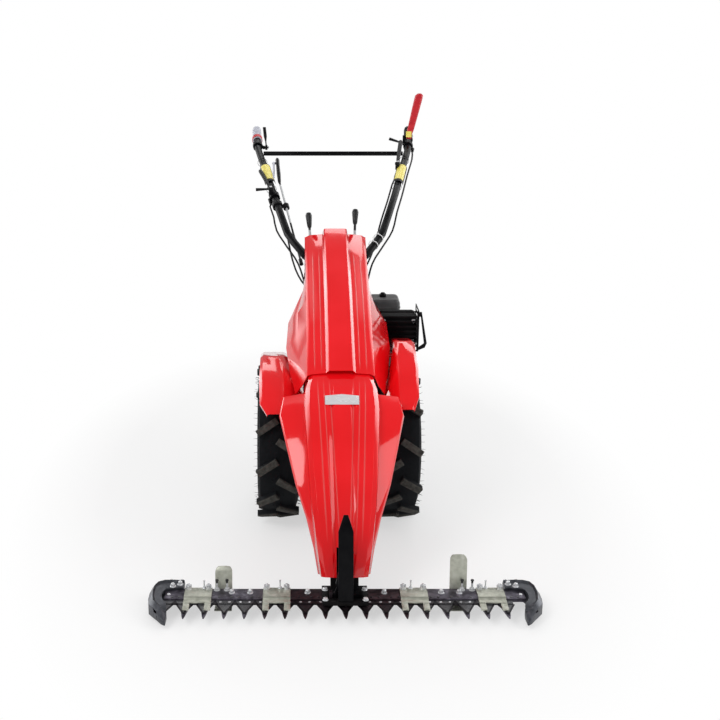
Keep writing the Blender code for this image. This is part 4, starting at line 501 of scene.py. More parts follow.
def two_part(name, first, second, low, high):
    """One piece in two finishes that meet at a height."""
    finish = new_finish(name, first, 0.4)
    side = fade(finish, axes(finish)[2], low, high)
    cloud = grain(finish, 160.0, 3.0)
    tint = ramp(finish, cloud, [(0.3, (0.86, 0.86, 0.86)), (0.7, (1, 1, 1))])
    colour = tinted(finish, mixed(finish, side, first, second), tint)
    skin = grain(finish, 900.0, 2.0)
    return wear(finish, colour, (cloud, 0.3, 0.48), (skin, 0.15, 0.0004))


# Heights of the hand lever's foot and of the sleeve's top on the shift rod
HAND_LEVER_FOOT = (0.9055, 0.9065)
ROD_SLEEVE_TOP = (0.8045, 0.8035)


def shift_steel():
    """Bright rod with a moulded hand lever above and a black sleeve below."""
    finish = new_finish("shift_rod_finish", (0.58, 0.59, 0.60), 0.35, sheen=0.3)
    z = axes(finish)[2]
    black = larger(finish, fade(finish, z, *HAND_LEVER_FOOT), fade(finish, z, *ROD_SLEEVE_TOP))
    cloud = grain(finish, 160.0, 3.0)
    steel = ramp(finish, cloud, [(0.3, (0.48, 0.49, 0.50)), (0.7, (0.64, 0.65, 0.66))])
    dark = ramp(finish, cloud, [(0.3, (0.004, 0.004, 0.005)), (0.7, (0.010, 0.010, 0.011))])
    skin = grain(finish, 900.0, 2.0)
    return wear(finish, mixed(finish, black, steel, dark), (cloud, 0.3, 0.48), (skin, 0.15, 0.0004))


RED = moulded_red()
LEVER_RED = lever_red()
PAINT = black_paint()
CASTING = black_casting()
ALLOY = bare_casting()
ZINC = zinc_plate()
STEEL = bright_steel()
BAR = bar_steel()
KNIFE = knife_steel()
IRON = shoe_iron()
RUBBER = tyre_rubber()
RIM = rim_paint()
BLACK = black_plastic()
TANK = tank_black()
GREY = grey_plastic()
PALE = pale_plastic()
PLATE = plate_silver()
YELLOW = patch_yellow()
WHITE = tie_white()
GEAR_ROD = two_part("gear_rod_finish", (0.55, 0.56, 0.57), (0.010, 0.010, 0.011), 0.799, 0.800)
STEM = two_part("skid_bolt_finish", (0.60, 0.61, 0.62), (0.020, 0.020, 0.022), 0.0600, 0.0605)
SHIFT = shift_steel()

# The finish of each solid that isn't painted black
FINISHES = {
    "hood_upper": RED, "hood_lower": RED, "mudguard_left": RED, "mudguard_right": RED,
    "stop_lever": LEVER_RED, "badge_plate": PLATE, "gearbox": CASTING, "crankcase": CASTING,
    "drive_head": CASTING, "bell_housing": ALLOY, "cylinder_head": ALLOY, "fan_housing": BLACK,
    "starter_grip": BLACK, "fuel_tank": TANK, "fuel_cap": BLACK, "air_cleaner": GREY, "muffler": CASTING,
    "end_shoe_left": IRON, "end_shoe_right": IRON, "finger_bar": BAR, "knife": KNIFE, "axle": STEEL,
    "tyre_left": RUBBER, "tyre_right": RUBBER, "rim_left": RIM, "rim_right": RIM, "grip_left": PALE,
    "grip_right": BLACK, "shift_trigger": PALE, "shift_guide": BLACK, "throttle_lever": BLACK,
    "brake_lever": BLACK, "clutch_lever": BLACK, "gear_rod_left": GEAR_ROD, "gear_rod_right": GEAR_ROD,
    "shift_rod": SHIFT}


def finish_of(name):
    if name.startswith(("hold_down", "skid")):
        return ZINC
    if name.startswith("cable"):
        return BLACK
    return FINISHES.get(name, PAINT)


for name, node in nodes.items():
    node.data.materials.clear()
    node.data.materials.append(finish_of(name))


# Modelling by hand

def rest():
    """Object mode with nothing selected."""
    if bpy.context.mode != "OBJECT":
        bpy.ops.object.mode_set(mode="OBJECT")
    bpy.ops.object.select_all(action="DESELECT")


def choose(piece):
    """Make one piece the only selected and the active one."""
    rest()
    piece.select_set(True)
    bpy.context.view_layer.objects.active = piece


def edit_faces(piece, wanted):
    """Enter edit mode with only the wanted faces selected."""
    choose(piece)
    bpy.ops.object.mode_set(mode="EDIT")
    bpy.ops.mesh.select_mode(type="FACE")
    bpy.ops.mesh.select_all(action="DESELECT")
    bm = bmesh.from_edit_mesh(piece.data)
    for face in bm.faces:
        face.select_set(wanted(face))
    bmesh.update_edit_mesh(piece.data)


def edit_edges(piece, wanted):
    """Enter edit mode with only the wanted edges selected."""
    choose(piece)
    bpy.ops.object.mode_set(mode="EDIT")
    bpy.ops.mesh.select_mode(type="EDGE")
    bpy.ops.mesh.select_all(action="DESELECT")
    bm = bmesh.from_edit_mesh(piece.data)
    for edge in bm.edges:
        edge.select_set(wanted(edge))
    bmesh.update_edit_mesh(piece.data)


def smooth(piece, angle):
    choose(piece)
    bpy.ops.object.shade_smooth_by_angle(angle=math.radians(angle))


def cylinder(name, radius, depth, sides, caps="NGON"):
    """Round stock that stands on z = 0."""
    rest()
    bpy.ops.mesh.primitive_cylinder_add(vertices=sides, radius=radius, depth=depth, end_fill_type=caps,
                                        location=(0, 0, depth / 2))
    piece = bpy.context.object
    piece.name = name
    bpy.ops.object.transform_apply(location=True, rotation=True, scale=True)
    return piece


def block(name, size):
    """Bar stock that stands on z = 0."""
    rest()
    bpy.ops.mesh.primitive_cube_add(size=1.0, location=(0, 0, size[2] / 2), scale=size)
    piece = bpy.context.object
    piece.name = name
    bpy.ops.object.transform_apply(location=True, rotation=True, scale=True)
    return piece


def soften(piece, width, segments=2, corner=35):
    """Round the edges that turn by more than the corner's degrees."""
    choose(piece)
    bevel = piece.modifiers.new("edges", "BEVEL")
    bevel.width = width
    bevel.segments = segments
    bevel.limit_method = "ANGLE"
    bevel.angle_limit = math.radians(corner)
    bpy.ops.object.modifier_apply(modifier=bevel.name)


def faces_up(face):
    return face.normal.z > 0.9


def step_up(piece, share, rise):
    """Inset the top face, then raise it, or sink it where the rise is negative."""
    edit_faces(piece, faces_up)
    bpy.ops.mesh.inset(thickness=share)
    bpy.ops.mesh.extrude_region_move(TRANSFORM_OT_translate={"value": (0, 0, rise)})
    bpy.ops.object.mode_set(mode="OBJECT")


def lifted(piece, height):
    """The piece itself, moved up by a height."""
    piece.data.transform(Matrix.Translation((0, 0, height)))
    return piece


def join_all(pieces, name):
    """One piece of several; the first one keeps its place."""
    rest()
    for piece in pieces:
        piece.select_set(True)
    bpy.context.view_layer.objects.active = pieces[0]
    bpy.ops.object.join()
    whole = bpy.context.object
    whole.name = name
    return whole


UP = (0, 0, 1)


def square_to(direction, way):
    """The part of a direction that stands square to another one, at length 1."""
    return (direction - way * direction.dot(way)).normalized()


def aim(place, direction, turn=0.0):
    """Matrix that stands a piece on a place, with its +Z along a direction."""
    z = Vector(direction).normalized()
    stand = z.to_track_quat("Z", "Y").to_matrix().to_4x4()
    return Matrix.Translation(Vector(place)) @ stand @ Matrix.Rotation(turn, 4, "Z")


def set_out(pattern, name, places, finish, body):
    """Copies of one modelled piece at each (place, direction, turn), joined, finished and riding."""
    copies = []
    for place in places:
        copy = pattern.copy()
        copy.data = pattern.data.copy()
        bpy.context.collection.objects.link(copy)
        copy.data.transform(aim(*place))
        copies.append(copy)
    whole = join_all(copies, name) if len(copies) > 1 else copies[0]
    whole.name = name
    return done(whole, finish, body)


def done(piece, finish, body, angle=35):
    """Smooth a piece, give it its finish, and let it ride on its body."""
    smooth(piece, angle)
    piece.data.materials.clear()
    piece.data.materials.append(finish)
    rest()
    if body is not None:
        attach(piece, body)
    return piece


def refined(name, width, segments=2, ride=True):
    """Smooth copy of a solid with rounded corners, which stands for it."""
    node = nodes[name]
    copy = bpy.data.objects.new(name + "_smooth", node.data.copy())
    bpy.context.collection.objects.link(copy)
    choose(copy)
    bpy.ops.mesh.customdata_custom_splitnormals_clear()
    bpy.ops.object.mode_set(mode="EDIT")
    bpy.ops.mesh.select_mode(type="VERT")
    bpy.ops.mesh.select_all(action="SELECT")
    bpy.ops.mesh.remove_doubles(threshold=0.00003)
    bpy.ops.mesh.select_all(action="SELECT")
    bpy.ops.mesh.dissolve_limited(angle_limit=math.radians(0.8))
    bpy.ops.mesh.select_all(action="SELECT")
    bpy.ops.mesh.normals_make_consistent(inside=False)
    bpy.ops.object.mode_set(mode="OBJECT")
    if width:
        soften(copy, width, segments, 30)
    done(copy, node.data.materials[0], node["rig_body"] if ride else None, 41)
    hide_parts(name)
    return copy


def discard(*patterns):
    """Take the patterns out once their copies are set out."""
    for pattern in patterns:
        bpy.data.objects.remove(pattern, do_unlink=True)


# Screws, nuts and rivets, each modelled once

def make_hex_bolt(size):
    """Hexagon head on a washer; size is half the head's width over its corners."""
    washer = cylinder("washer", size * 1.25, size * 0.22, 24)
    soften(washer, size * 0.05, 1)
    head = lifted(cylinder("head", size, size * 0.75, 6), size * 0.22)
    step_up(head, size * 0.14, size * 0.06)
    whole = join_all([washer, head], "hex_bolt")
    soften(whole, size * 0.05, 1)
    return whole


def make_dome_nut(size):
    """Hexagon nut with a domed cap."""
    base = cylinder("base", size * 1.3, size * 0.2, 24)
    nut = lifted(cylinder("nut", size, size * 0.9, 6), size * 0.2)
    cap = lifted(cylinder("cap", size * 0.82, size * 0.7, 20), size)
    edit_edges(cap, lambda e: all(v.co.z > size * 1.6 for v in e.verts))
    bpy.ops.mesh.bevel(offset=size * 0.5, segments=5, profile=0.5)
    bpy.ops.object.mode_set(mode="OBJECT")
    return join_all([base, nut, cap], "dome_nut")


def make_castle_nut(size):
    """Slotted nut: every other part of its rim stands up."""
    nut = cylinder("castle_nut", size, size * 0.9, 12)
    edit_faces(nut, faces_up)
    bpy.ops.mesh.inset(thickness=size * 0.42)
    bpy.ops.object.mode_set(mode="OBJECT")

    def merlon(face):
        if not faces_up(face) or len(face.verts) != 4:
            return False
        centre = face.calc_center_median()
        turn = math.degrees(math.atan2(centre.y, centre.x)) % 360
        return int(turn // 30) % 2 == 0

    edit_faces(nut, merlon)
    bpy.ops.mesh.extrude_region_move(TRANSFORM_OT_translate={"value": (0, 0, size * 0.5)})
    bpy.ops.object.mode_set(mode="OBJECT")
    stem = cylinder("stem", size * 0.45, size * 1.9, 12)
    soften(stem, size * 0.1, 2)
    return join_all([nut, stem], "castle_nut")


def make_rivet(radius):
    """Low round head with a rounded rim."""
    head = cylinder("rivet", radius, radius * 0.55, 14)
    edit_edges(head, lambda e: all(v.co.z > radius * 0.5 for v in e.verts))
    bpy.ops.mesh.bevel(offset=radius * 0.4, segments=3, profile=0.5)
    bpy.ops.object.mode_set(mode="OBJECT")
    return head


def make_tall_bolt(size, height):
    """Nut on its washer with a long stem above it and a small head on the stem."""
    washer = cylinder("washer", size * 1.35, size * 0.25, 24)
    nut = lifted(cylinder("nut", size, size * 0.85, 6), size * 0.25)
    step_up(nut, size * 0.2, size * 0.08)
    stem = cylinder("stem", size * 0.45, height, 14)
    step_up(stem, size * 0.1, size * 0.12)
    head = lifted(cylinder("head", size * 0.72, size * 0.6, 6), height - size * 0.5)
    whole = join_all([washer, nut, stem, head], "tall_bolt")
    soften(whole, size * 0.05, 1)
    return whole


def make_cap_screw(radius):
    """Round head with a hexagon socket."""
    head = cylinder("cap_screw", radius, radius * 0.9, 18)
    step_up(head, radius * 0.42, -radius * 0.5)
    soften(head, radius * 0.08, 2)
    return head


# Where the cutter bar's small pieces sit. A list of single numbers goes along X, other places start with
# the distance aside and the distance back, and the left side mirrors the right one.
HOLD_DOWNS = (-0.375, -0.174, 0.177, 0.374)
HOLD_DOWN_HALF = 0.037
HOLD_DOWN_TOP = BAR_TOP + 0.0043
HOLD_DOWN_NUT = (0.0255, -0.8285)
HOLD_DOWN_BOLTS = (-0.3610, -0.1656, 0.1710, 0.3636)
HOLD_DOWN_BOLTS_BACK = -0.8250
BAR_NUTS = (-0.289, -0.242, -0.095, 0.1016, 0.248, 0.294)
BAR_NUTS_BACK = -0.843
SKID_BOLTS = (-0.3283, -0.3020, 0.3030, 0.3290)
SKID_BOLTS_BACK = -0.8275
SHOE_TOP = 0.0473
SHOE_NUTS = ((0.4240, -0.8110, 0.1), (0.4422, -0.8220, 0.4))
SHOE_STUDS = ((0.4210, -0.7890, SHOE_TOP), (0.4490, -0.7890, SHOE_TOP), (0.4500, -0.8520, BAR_TOP))
DRIVE_FOOT_TOP = 0.0503
DRIVE_FOOT_BOLTS = ((0.0505, -0.846), (0.0505, -0.900))
SECTION_COUNT = 18
RIVET_RADIUS = 0.0034
FINGER_RIVET = (0.0093, -0.8655)
KNIFE_RIVET = (0.0115, -0.8816)
KNIFE_RIVET_FLATNESS = 0.12
KNIFE_STRIP_TOP = 0.0353
KNIFE_FORK = (-0.0254, 0.020)
END_SHOE_REACH = 0.360


def pairs_along(first, aside):
    """Two rivets for each section or finger, from a first place given in finger pitches."""
    return [(first + i) * FINGER_PITCH + offset for i in range(SECTION_COUNT) for offset in (-aside, aside)]


def finger_rivet_shows(x):
    """The hold-downs and the drive head's foot cover some of the bar."""
    return not any(abs(x - covered) < HOLD_DOWN_HALF for covered in (*HOLD_DOWNS, 0.0))


def knife_rivet_shows(x):
    """The fork covers the knife's middle, and the end shoes take in its ends at full stroke."""
    middle, half = KNIFE_FORK
    return abs(x - middle) > half and abs(x) < END_SHOE_REACH


def screws_on_the_bar():
    """Nuts, bolts, studs and rivets of the cutter bar and the knife."""
    dome = make_dome_nut(0.0062)
    places = [((x, BAR_NUTS_BACK, BAR_TOP), UP, 0.3 * i) for i, x in enumerate(BAR_NUTS)]
    set_out(dome, "bar_dome_nuts", places, STEEL, "cutter_bar")
    castle = make_castle_nut(0.0076)
    aside, back = HOLD_DOWN_NUT
    places = [((x + offset, back, HOLD_DOWN_TOP), UP, turn) for x in HOLD_DOWNS
              for offset, turn in ((-aside, 0.2), (aside, 0.5))]
    set_out(castle, "hold_down_nuts", places, STEEL, "cutter_bar")
    places = [((side * x, y, SHOE_TOP), UP, turn) for side in (-1, 1) for x, y, turn in SHOE_NUTS]
    set_out(dome, "end_shoe_nuts", places, STEEL, "cutter_bar")
    stud = make_rivet(0.0048)
    places = [((side * x, y, z), UP, 0.0) for side in (-1, 1) for x, y, z in SHOE_STUDS]
    set_out(stud, "end_shoe_studs", places, STEEL, "cutter_bar")
    tall = make_tall_bolt(0.0042, 0.022)
    places = [((x, HOLD_DOWN_BOLTS_BACK, HOLD_DOWN_TOP), UP, 0.3) for x in HOLD_DOWN_BOLTS]
    set_out(tall, "hold_down_bolts", places, STEEL, "cutter_bar")
    stem = make_tall_bolt(0.0062, 0.029)
    places = [((x, SKID_BOLTS_BACK, BAR_TOP), UP, 0.2) for x in SKID_BOLTS]
    set_out(stem, "skid_bolts", places, STEM, "cutter_bar")
    small_hex = make_hex_bolt(0.0062)
    places = [((side * x, y, DRIVE_FOOT_TOP), UP, 0.2) for side in (-1, 1) for x, y in DRIVE_FOOT_BOLTS]
    set_out(small_hex, "drive_foot_bolts", places, STEEL, "cutter_bar")
    rivet = make_rivet(RIVET_RADIUS)
    aside, back = FINGER_RIVET
    places = [((x, back, BAR_TOP), UP, 0.0) for x in pairs_along(-8.5, aside) if finger_rivet_shows(x)]
    set_out(rivet, "finger_rivets", places, KNIFE, "cutter_bar")
    flush = make_rivet(RIVET_RADIUS)
    flush.data.transform(Matrix.Diagonal((1, 1, KNIFE_RIVET_FLATNESS, 1)))
    aside, back = KNIFE_RIVET
    places = [((x, back, KNIFE_STRIP_TOP), UP, 0.0) for x in pairs_along(-9, aside) if knife_rivet_shows(x)]
    set_out(flush, "knife_rivets", places, STEEL, "knife")
    discard(dome, castle, stud, tall, stem, small_hex, rivet, flush)


def ring_of(count, start, radius):
    """Equal places round a circle, as two offsets from its centre; start is in degrees."""
    turns = [math.radians(start + 360 / count * i) for i in range(count)]
    return [(radius * math.cos(turn), radius * math.sin(turn)) for turn in turns]


# Where the frame's and the wheels' small pieces sit
LID_TOP = 0.410
LID_SIDE = 0.0565
LID_BOLTS = (-0.412, -0.345, -0.275, -0.205)
LID_ENDS = (-0.412, -0.136)
AXLE_BOSS_FACE = 0.112
TUBE_FLANGES = ((-0.6970, 1), (-0.4513, -1))
BELL_FACE = -0.0363
COLUMN_FOOT_TOP = 0.4203
COLUMN_FOOT = (0.027, (-0.2200, -0.1660))
TILT_PIN = (0.0403, 0.001, 0.700)
DRIVE_HEAD_SIDE = 0.036
DRIVE_HEAD_BOLTS = ((-0.722, 0.180), (-0.722, 0.214), (-0.765, 0.152), (-0.768, 0.186))
RIM_DISC = TYRE_CENTRE + 0.0248


def screws_on_the_frame():
    """Bolts of the castings, the column and the wheels."""
    large = make_hex_bolt(0.0080)
    medium = make_hex_bolt(0.0058)
    small = make_hex_bolt(0.0045)
    places = [((side * LID_SIDE, y, LID_TOP), UP, 0.3) for side in (-1, 1) for y in LID_BOLTS]
    places += [((0.0, y, LID_TOP), UP, 0.1) for y in LID_ENDS]
    set_out(medium, "gearbox_lid_bolts", places, STEEL, "frame")
    places = [((side * AXLE_BOSS_FACE, AXLE_BACK + y, AXLE_HEIGHT + z), (side, 0, 0), 0.2 * i)
              for side in (-1, 1) for i, (y, z) in enumerate(ring_of(5, 36, 0.028))]
    set_out(medium, "axle_boss_bolts", places, STEEL, "frame")
    places = [((x, face, DRIVE_HEIGHT + z), (0, way, 0), 0.0) for x, z in ring_of(6, 30, 0.0370)
              for face, way in TUBE_FLANGES]
    set_out(small, "drive_tube_bolts", places, STEEL, "frame")
    places = [((x, BELL_FACE, CRANK_HEIGHT + z), (0, -1, 0), 0.0) for x, z in ring_of(6, 15, 0.080)]
    set_out(medium, "bell_bolts", places, STEEL, "frame")
    aside, backs = COLUMN_FOOT
    places = [((side * aside, y, COLUMN_FOOT_TOP), UP, 0.2) for side in (-1, 1) for y in backs]
    set_out(small, "column_foot_bolts", places, STEEL, "frame")
    x, y, z = TILT_PIN
    places = [((side * x, y, z), (side, 0, 0), 0.0) for side in (-1, 1)]
    set_out(large, "tilt_pin_nuts", places, STEEL, "frame")
    places = [((side * DRIVE_HEAD_SIDE, y, z), (side, 0, 0), 0.3) for side in (-1, 1)
              for y, z in DRIVE_HEAD_BOLTS]
    set_out(medium, "drive_head_bolts", places, STEEL, "cutter_bar")
    places = [((side * RIM_DISC, AXLE_BACK + y, AXLE_HEIGHT + z), (side, 0, 0), 0.0)
              for side in (-1, 1) for y, z in ring_of(5, 18, 0.052)]
    set_out(large, "wheel_bolts", places, STEEL, "wheels")
    discard(large, medium, small)


# The tyres' hairs: their size, how many, and the radius and width at which they stand
HAIR_RADIUS = 0.0007
HAIR_LENGTH = 0.012
WALL_HAIRS = 120
CROWN_HAIRS = 48
TYRE_HALF_WIDTH = 0.0575
WALL_HAIR_RADIUS = 0.192
CROWN_HAIR_RADIUS = 0.212


def tyre_hairs():
    """Fine moulding hairs that stand from the lugs and the side walls."""
    hair = cylinder("hair", HAIR_RADIUS, HAIR_LENGTH, 4)
    edit_faces(hair, faces_up)
    bpy.ops.transform.resize(value=(0.25, 0.25, 1))
    bpy.ops.object.mode_set(mode="OBJECT")
    for name, side in (("left", -1), ("right", 1)):
        centre = Vector((side * TYRE_CENTRE, AXLE_BACK, AXLE_HEIGHT))
        places = []
        for i in range(WALL_HAIRS):
            turn = math.radians(360 / WALL_HAIRS * i + 2)
            out = Vector((0, math.cos(turn), math.sin(turn)))
            wall = Vector((1 if i % 2 else -1, 0, 0))
            lean = 0.3 + 0.45 * math.sin(i * 2.4)
            radius = WALL_HAIR_RADIUS - 0.0035 * (i % 5)
            places.append((centre + wall * TYRE_HALF_WIDTH + out * radius, wall + out * lean, 0.0))
        for i in range(CROWN_HAIRS):
            turn = math.radians(360 / CROWN_HAIRS * i + 3.7)
            out = Vector((0, math.cos(turn), math.sin(turn)))
            aside = Vector((0.016 * math.sin(i * 1.7), 0, 0))
            places.append((centre + aside + out * CROWN_HAIR_RADIUS, out + Vector((0.3, 0, 0)), 0.0))
        set_out(hair, "tyre_hairs_" + name, places, RUBBER, "wheels")
    discard(hair)


# Handlebar: the right tube's middle line before the handlebar's small swing; the left one mirrors it
TUBE_LINE = [(0.094, 0.075, 0.729), (0.112, 0.106, 0.744), (0.153, 0.186, 0.780), (0.177, 0.266, 0.828),
             (0.204, 0.381, 0.876), (0.218, 0.461, 0.8995), (0.232, 0.541, 0.923), (0.247, 0.621, 0.9445),
             (0.262, 0.701, 0.966), (0.2740, 0.771, 0.9846), (0.2785, 0.831, 1.0005), (0.2870, 0.957, 1.0339)]
HANDLE_SWING = 0.018
SOCKET_BACK = 0.061
CLAMP_NUT_DROP = 0.0172


def on_tube(side, back):
    """Place on a handle tube and its direction, at a distance along the machine."""
    line = [Vector((side * x + HANDLE_SWING * (y - SOCKET_BACK), y, z)) for x, y, z in TUBE_LINE]
    for a, b in zip(line, line[1:]):
        if a.y <= back <= b.y:
            return a.lerp(b, (back - a.y) / (b.y - a.y)), (b - a).normalized()
    return None


def thicken(piece, wall):
    """Give an open sheet its wall, outwards."""
    choose(piece)
    shell = piece.modifiers.new("wall", "SOLIDIFY")
    shell.thickness = wall
    shell.offset = 1.0
    bpy.ops.object.modifier_apply(modifier=shell.name)


def sleeve(name, side, back, length, radius, wall, finish, edge):
    """Thin sleeve round a handle tube."""
    piece = cylinder(name, radius, length, 32, "NOTHING")
    thicken(piece, wall)
    soften(piece, edge, 2)
    lifted(piece, -length / 2)
    piece.data.transform(aim(*on_tube(side, back)))
    return done(piece, finish, "handlebar", 40)


# The way that the covers on the handle tubes face
SHELL_FRONT = (0, -0.75, 0.65)


def half_shell(name, side, back, length, radius, wall, spread, finish, rounding):
    """Curved plate over the front of a handle tube: a cylinder cut open, its corners rounded."""
    place, way = on_tube(side, back)
    piece = cylinder(name, radius, length, 48, "NOTHING")
    choose(piece)
    bpy.ops.object.mode_set(mode="EDIT")
    bpy.ops.mesh.select_all(action="SELECT")
    bpy.ops.mesh.subdivide(number_cuts=11)
    bpy.ops.object.mode_set(mode="OBJECT")
    half = length / 2

    def outside(face):
        centre = face.calc_center_median()
        turn = abs(math.atan2(centre.x, -centre.y))
        if turn > spread:
            return True
        from_side = max(rounding - (spread - turn) * radius, 0)
        from_end = max(rounding - (half - abs(centre.z - half)), 0)
        return math.hypot(from_side, from_end) > rounding

    edit_faces(piece, outside)
    bpy.ops.mesh.delete(type="FACE")
    bpy.ops.object.mode_set(mode="OBJECT")
    thicken(piece, wall)
    lifted(piece, -half)
    front = square_to(Vector(SHELL_FRONT), way)
    across = (-front).cross(way).normalized()
    turn = Matrix((across, -front, way)).transposed().to_4x4()
    piece.data.transform(Matrix.Translation(place) @ turn)
    return done(piece, finish, "handlebar", 40)


def flat_ring(name, radius, thickness, sides, stretch):
    """Ring of round wire, stretched along its axis."""
    rest()
    bpy.ops.mesh.primitive_torus_add(major_segments=sides, minor_segments=8, major_radius=radius,
                                     minor_radius=thickness)
    ring = bpy.context.object
    ring.name = name
    choose(ring)
    bpy.ops.object.mode_set(mode="EDIT")
    bpy.ops.mesh.select_all(action="SELECT")
    bpy.ops.transform.resize(value=(1, 1, stretch))
    bpy.ops.object.mode_set(mode="OBJECT")
    return ring


GRIP_RINGS = 11
GRIP_RING_PITCH = 0.0062
FIRST_GRIP_RING = 0.880


def grip_ribs():
    """Finger rings of the hand grips and the red collar of the left one."""
    ring = flat_ring("grip_ring", radius=0.0151, thickness=0.0011, sides=32, stretch=1.6)
    for name, side, finish in (("left", -1, PALE), ("right", 1, BLACK)):
        places = [(*on_tube(side, FIRST_GRIP_RING + GRIP_RING_PITCH * i), 0.0) for i in range(GRIP_RINGS)]
        set_out(ring, "grip_rings_" + name, places, finish, "handlebar")
    discard(ring)
    sleeve("grip_collar_left", -1, back=0.857, length=0.0225, radius=0.0176, wall=0.0012,
           finish=LEVER_RED, edge=0.0005)


def cable_tie(name, side, back, finish, spread):
    """Band round a handle tube and the cable beside it, with its lock."""
    band = flat_ring(name, radius=0.0150, thickness=0.0007, sides=36, stretch=2.6)
    edit_faces(band, lambda f: f.calc_center_median().x > 0.004)
    bpy.ops.transform.translate(value=(spread, 0, 0))
    bpy.ops.object.mode_set(mode="OBJECT")
    lock = block(name + "_lock", (0.0045, 0.0032, 0.0040))
    soften(lock, 0.0005, 2)
    lock.data.transform(Matrix.Translation((0, 0.0165, -0.002)))
    tail = block(name + "_tail", (0.0009, 0.012, 0.0024))
    soften(tail, 0.0003, 1)
    tail.data.transform(Matrix.Translation((0.0, 0.0235, -0.0012)))
    whole = join_all([band, lock, tail], name)
    whole.data.transform(aim(*on_tube(side, back)))
    return done(whole, finish, "handlebar", 40)


# Name, side, distance back, finish and how far each tie reaches over its cable
TIES = (("tie_white_high", 1, 0.162, WHITE, 0.002), ("tie_white_low", 1, 0.128, WHITE, 0.002),
        ("tie_left", -1, 0.420, BLACK, 0.003), ("tie_right", 1, 0.440, BLACK, 0.003),
        ("tie_left_high", -1, 0.640, BLACK, 0.003), ("tie_right_high", 1, 0.660, BLACK, 0.003))
LEVER_PIVOTS = (((-0.2072, 0.367, 0.90316), UP), ((0.23155, 0.565, 0.96252), UP),
                ((-0.2243, 0.765, 0.98901), (1, 0, 0)), ((0.3023, 0.797, 1.02549), (1, 0, 0)))
CLAMPS = ((-1, 0.367), (-1, 0.797), (1, 0.565), (1, 0.797))
STOP_PATCH = (0.2895, 0.7820, 1.024)


def handlebar_details():
    """Tube covers, patches, grip rings, ties, the levers' screws and the clamps' nuts."""
    for name, side in (("left", -1), ("right", 1)):
        half_shell("tube_cover_" + name, side, back=0.520, length=0.140, radius=0.0172, wall=0.0010,
                   spread=1.45, finish=BLACK, rounding=0.006)
        half_shell("cover_patch_" + name, side, back=0.525, length=0.118, radius=0.0183, wall=0.0004,
                   spread=0.95, finish=YELLOW, rounding=0.007)
    grip_ribs()
    for tie in TIES:
        cable_tie(*tie)
    plate = block("patch_stop", (0.020, 0.0008, 0.022))
    soften(plate, 0.0003, 1)
    plate.data.transform(aim(STOP_PATCH, (0, 0.35, 0.94)))
    done(plate, YELLOW, "handlebar")
    screw = make_cap_screw(0.0042)
    places = [(place, way, 0.0) for place, way in LEVER_PIVOTS]
    set_out(screw, "lever_pivot_screws", places, STEEL, "handlebar")
    nut = make_hex_bolt(0.0050)
    places = []
    for side, back in CLAMPS:
        place, way = on_tube(side, back)
        down = square_to(Vector((0, 0, -1)), way)
        places.append((place + down * CLAMP_NUT_DROP, down, 0.0))
    set_out(nut, "clamp_nuts", places, STEEL, "handlebar")
    discard(screw, nut)


# The engine's small pieces
TANK_SEAM = (-0.010, 0.1113, 0.528)
FUEL_CAP = (-0.02, 0.1063, 0.5912)
COWL_FACE = 0.1812
CYLINDER_LEAN = math.radians(20)
CYLINDER_BACK = -0.0237
VALVE_COVER_REACH = 0.2513
MUFFLER_FACE = -0.0757
AIR_CLEANER = (0.155, 0.110)
CLEANER_LID = (0.155, 0.1103, 0.560)
OIL_PLUGS = ((-0.088, CYLINDER_BACK, 0.290), (0.050, CYLINDER_BACK, 0.285))
STARTER_FACE = 0.1985


def rounded_plate(name, size, corner, segments, edge):
    """Flat plate with round corners and softened edges."""
    plate = block(name, size)
    edit_edges(plate, lambda e: abs(e.verts[0].co.z - e.verts[1].co.z) > 0.003)
    bpy.ops.mesh.bevel(offset=corner, segments=segments)
    bpy.ops.object.mode_set(mode="OBJECT")
    soften(plate, edge, 2)
    return plate


def stepped_knob(name, radius, height, sides, share, rise, edge):
    """Round knob with a smaller step on top."""
    knob = cylinder(name, radius, height, sides)
    step_up(knob, share, rise)
    soften(knob, edge, 2)
    return knob


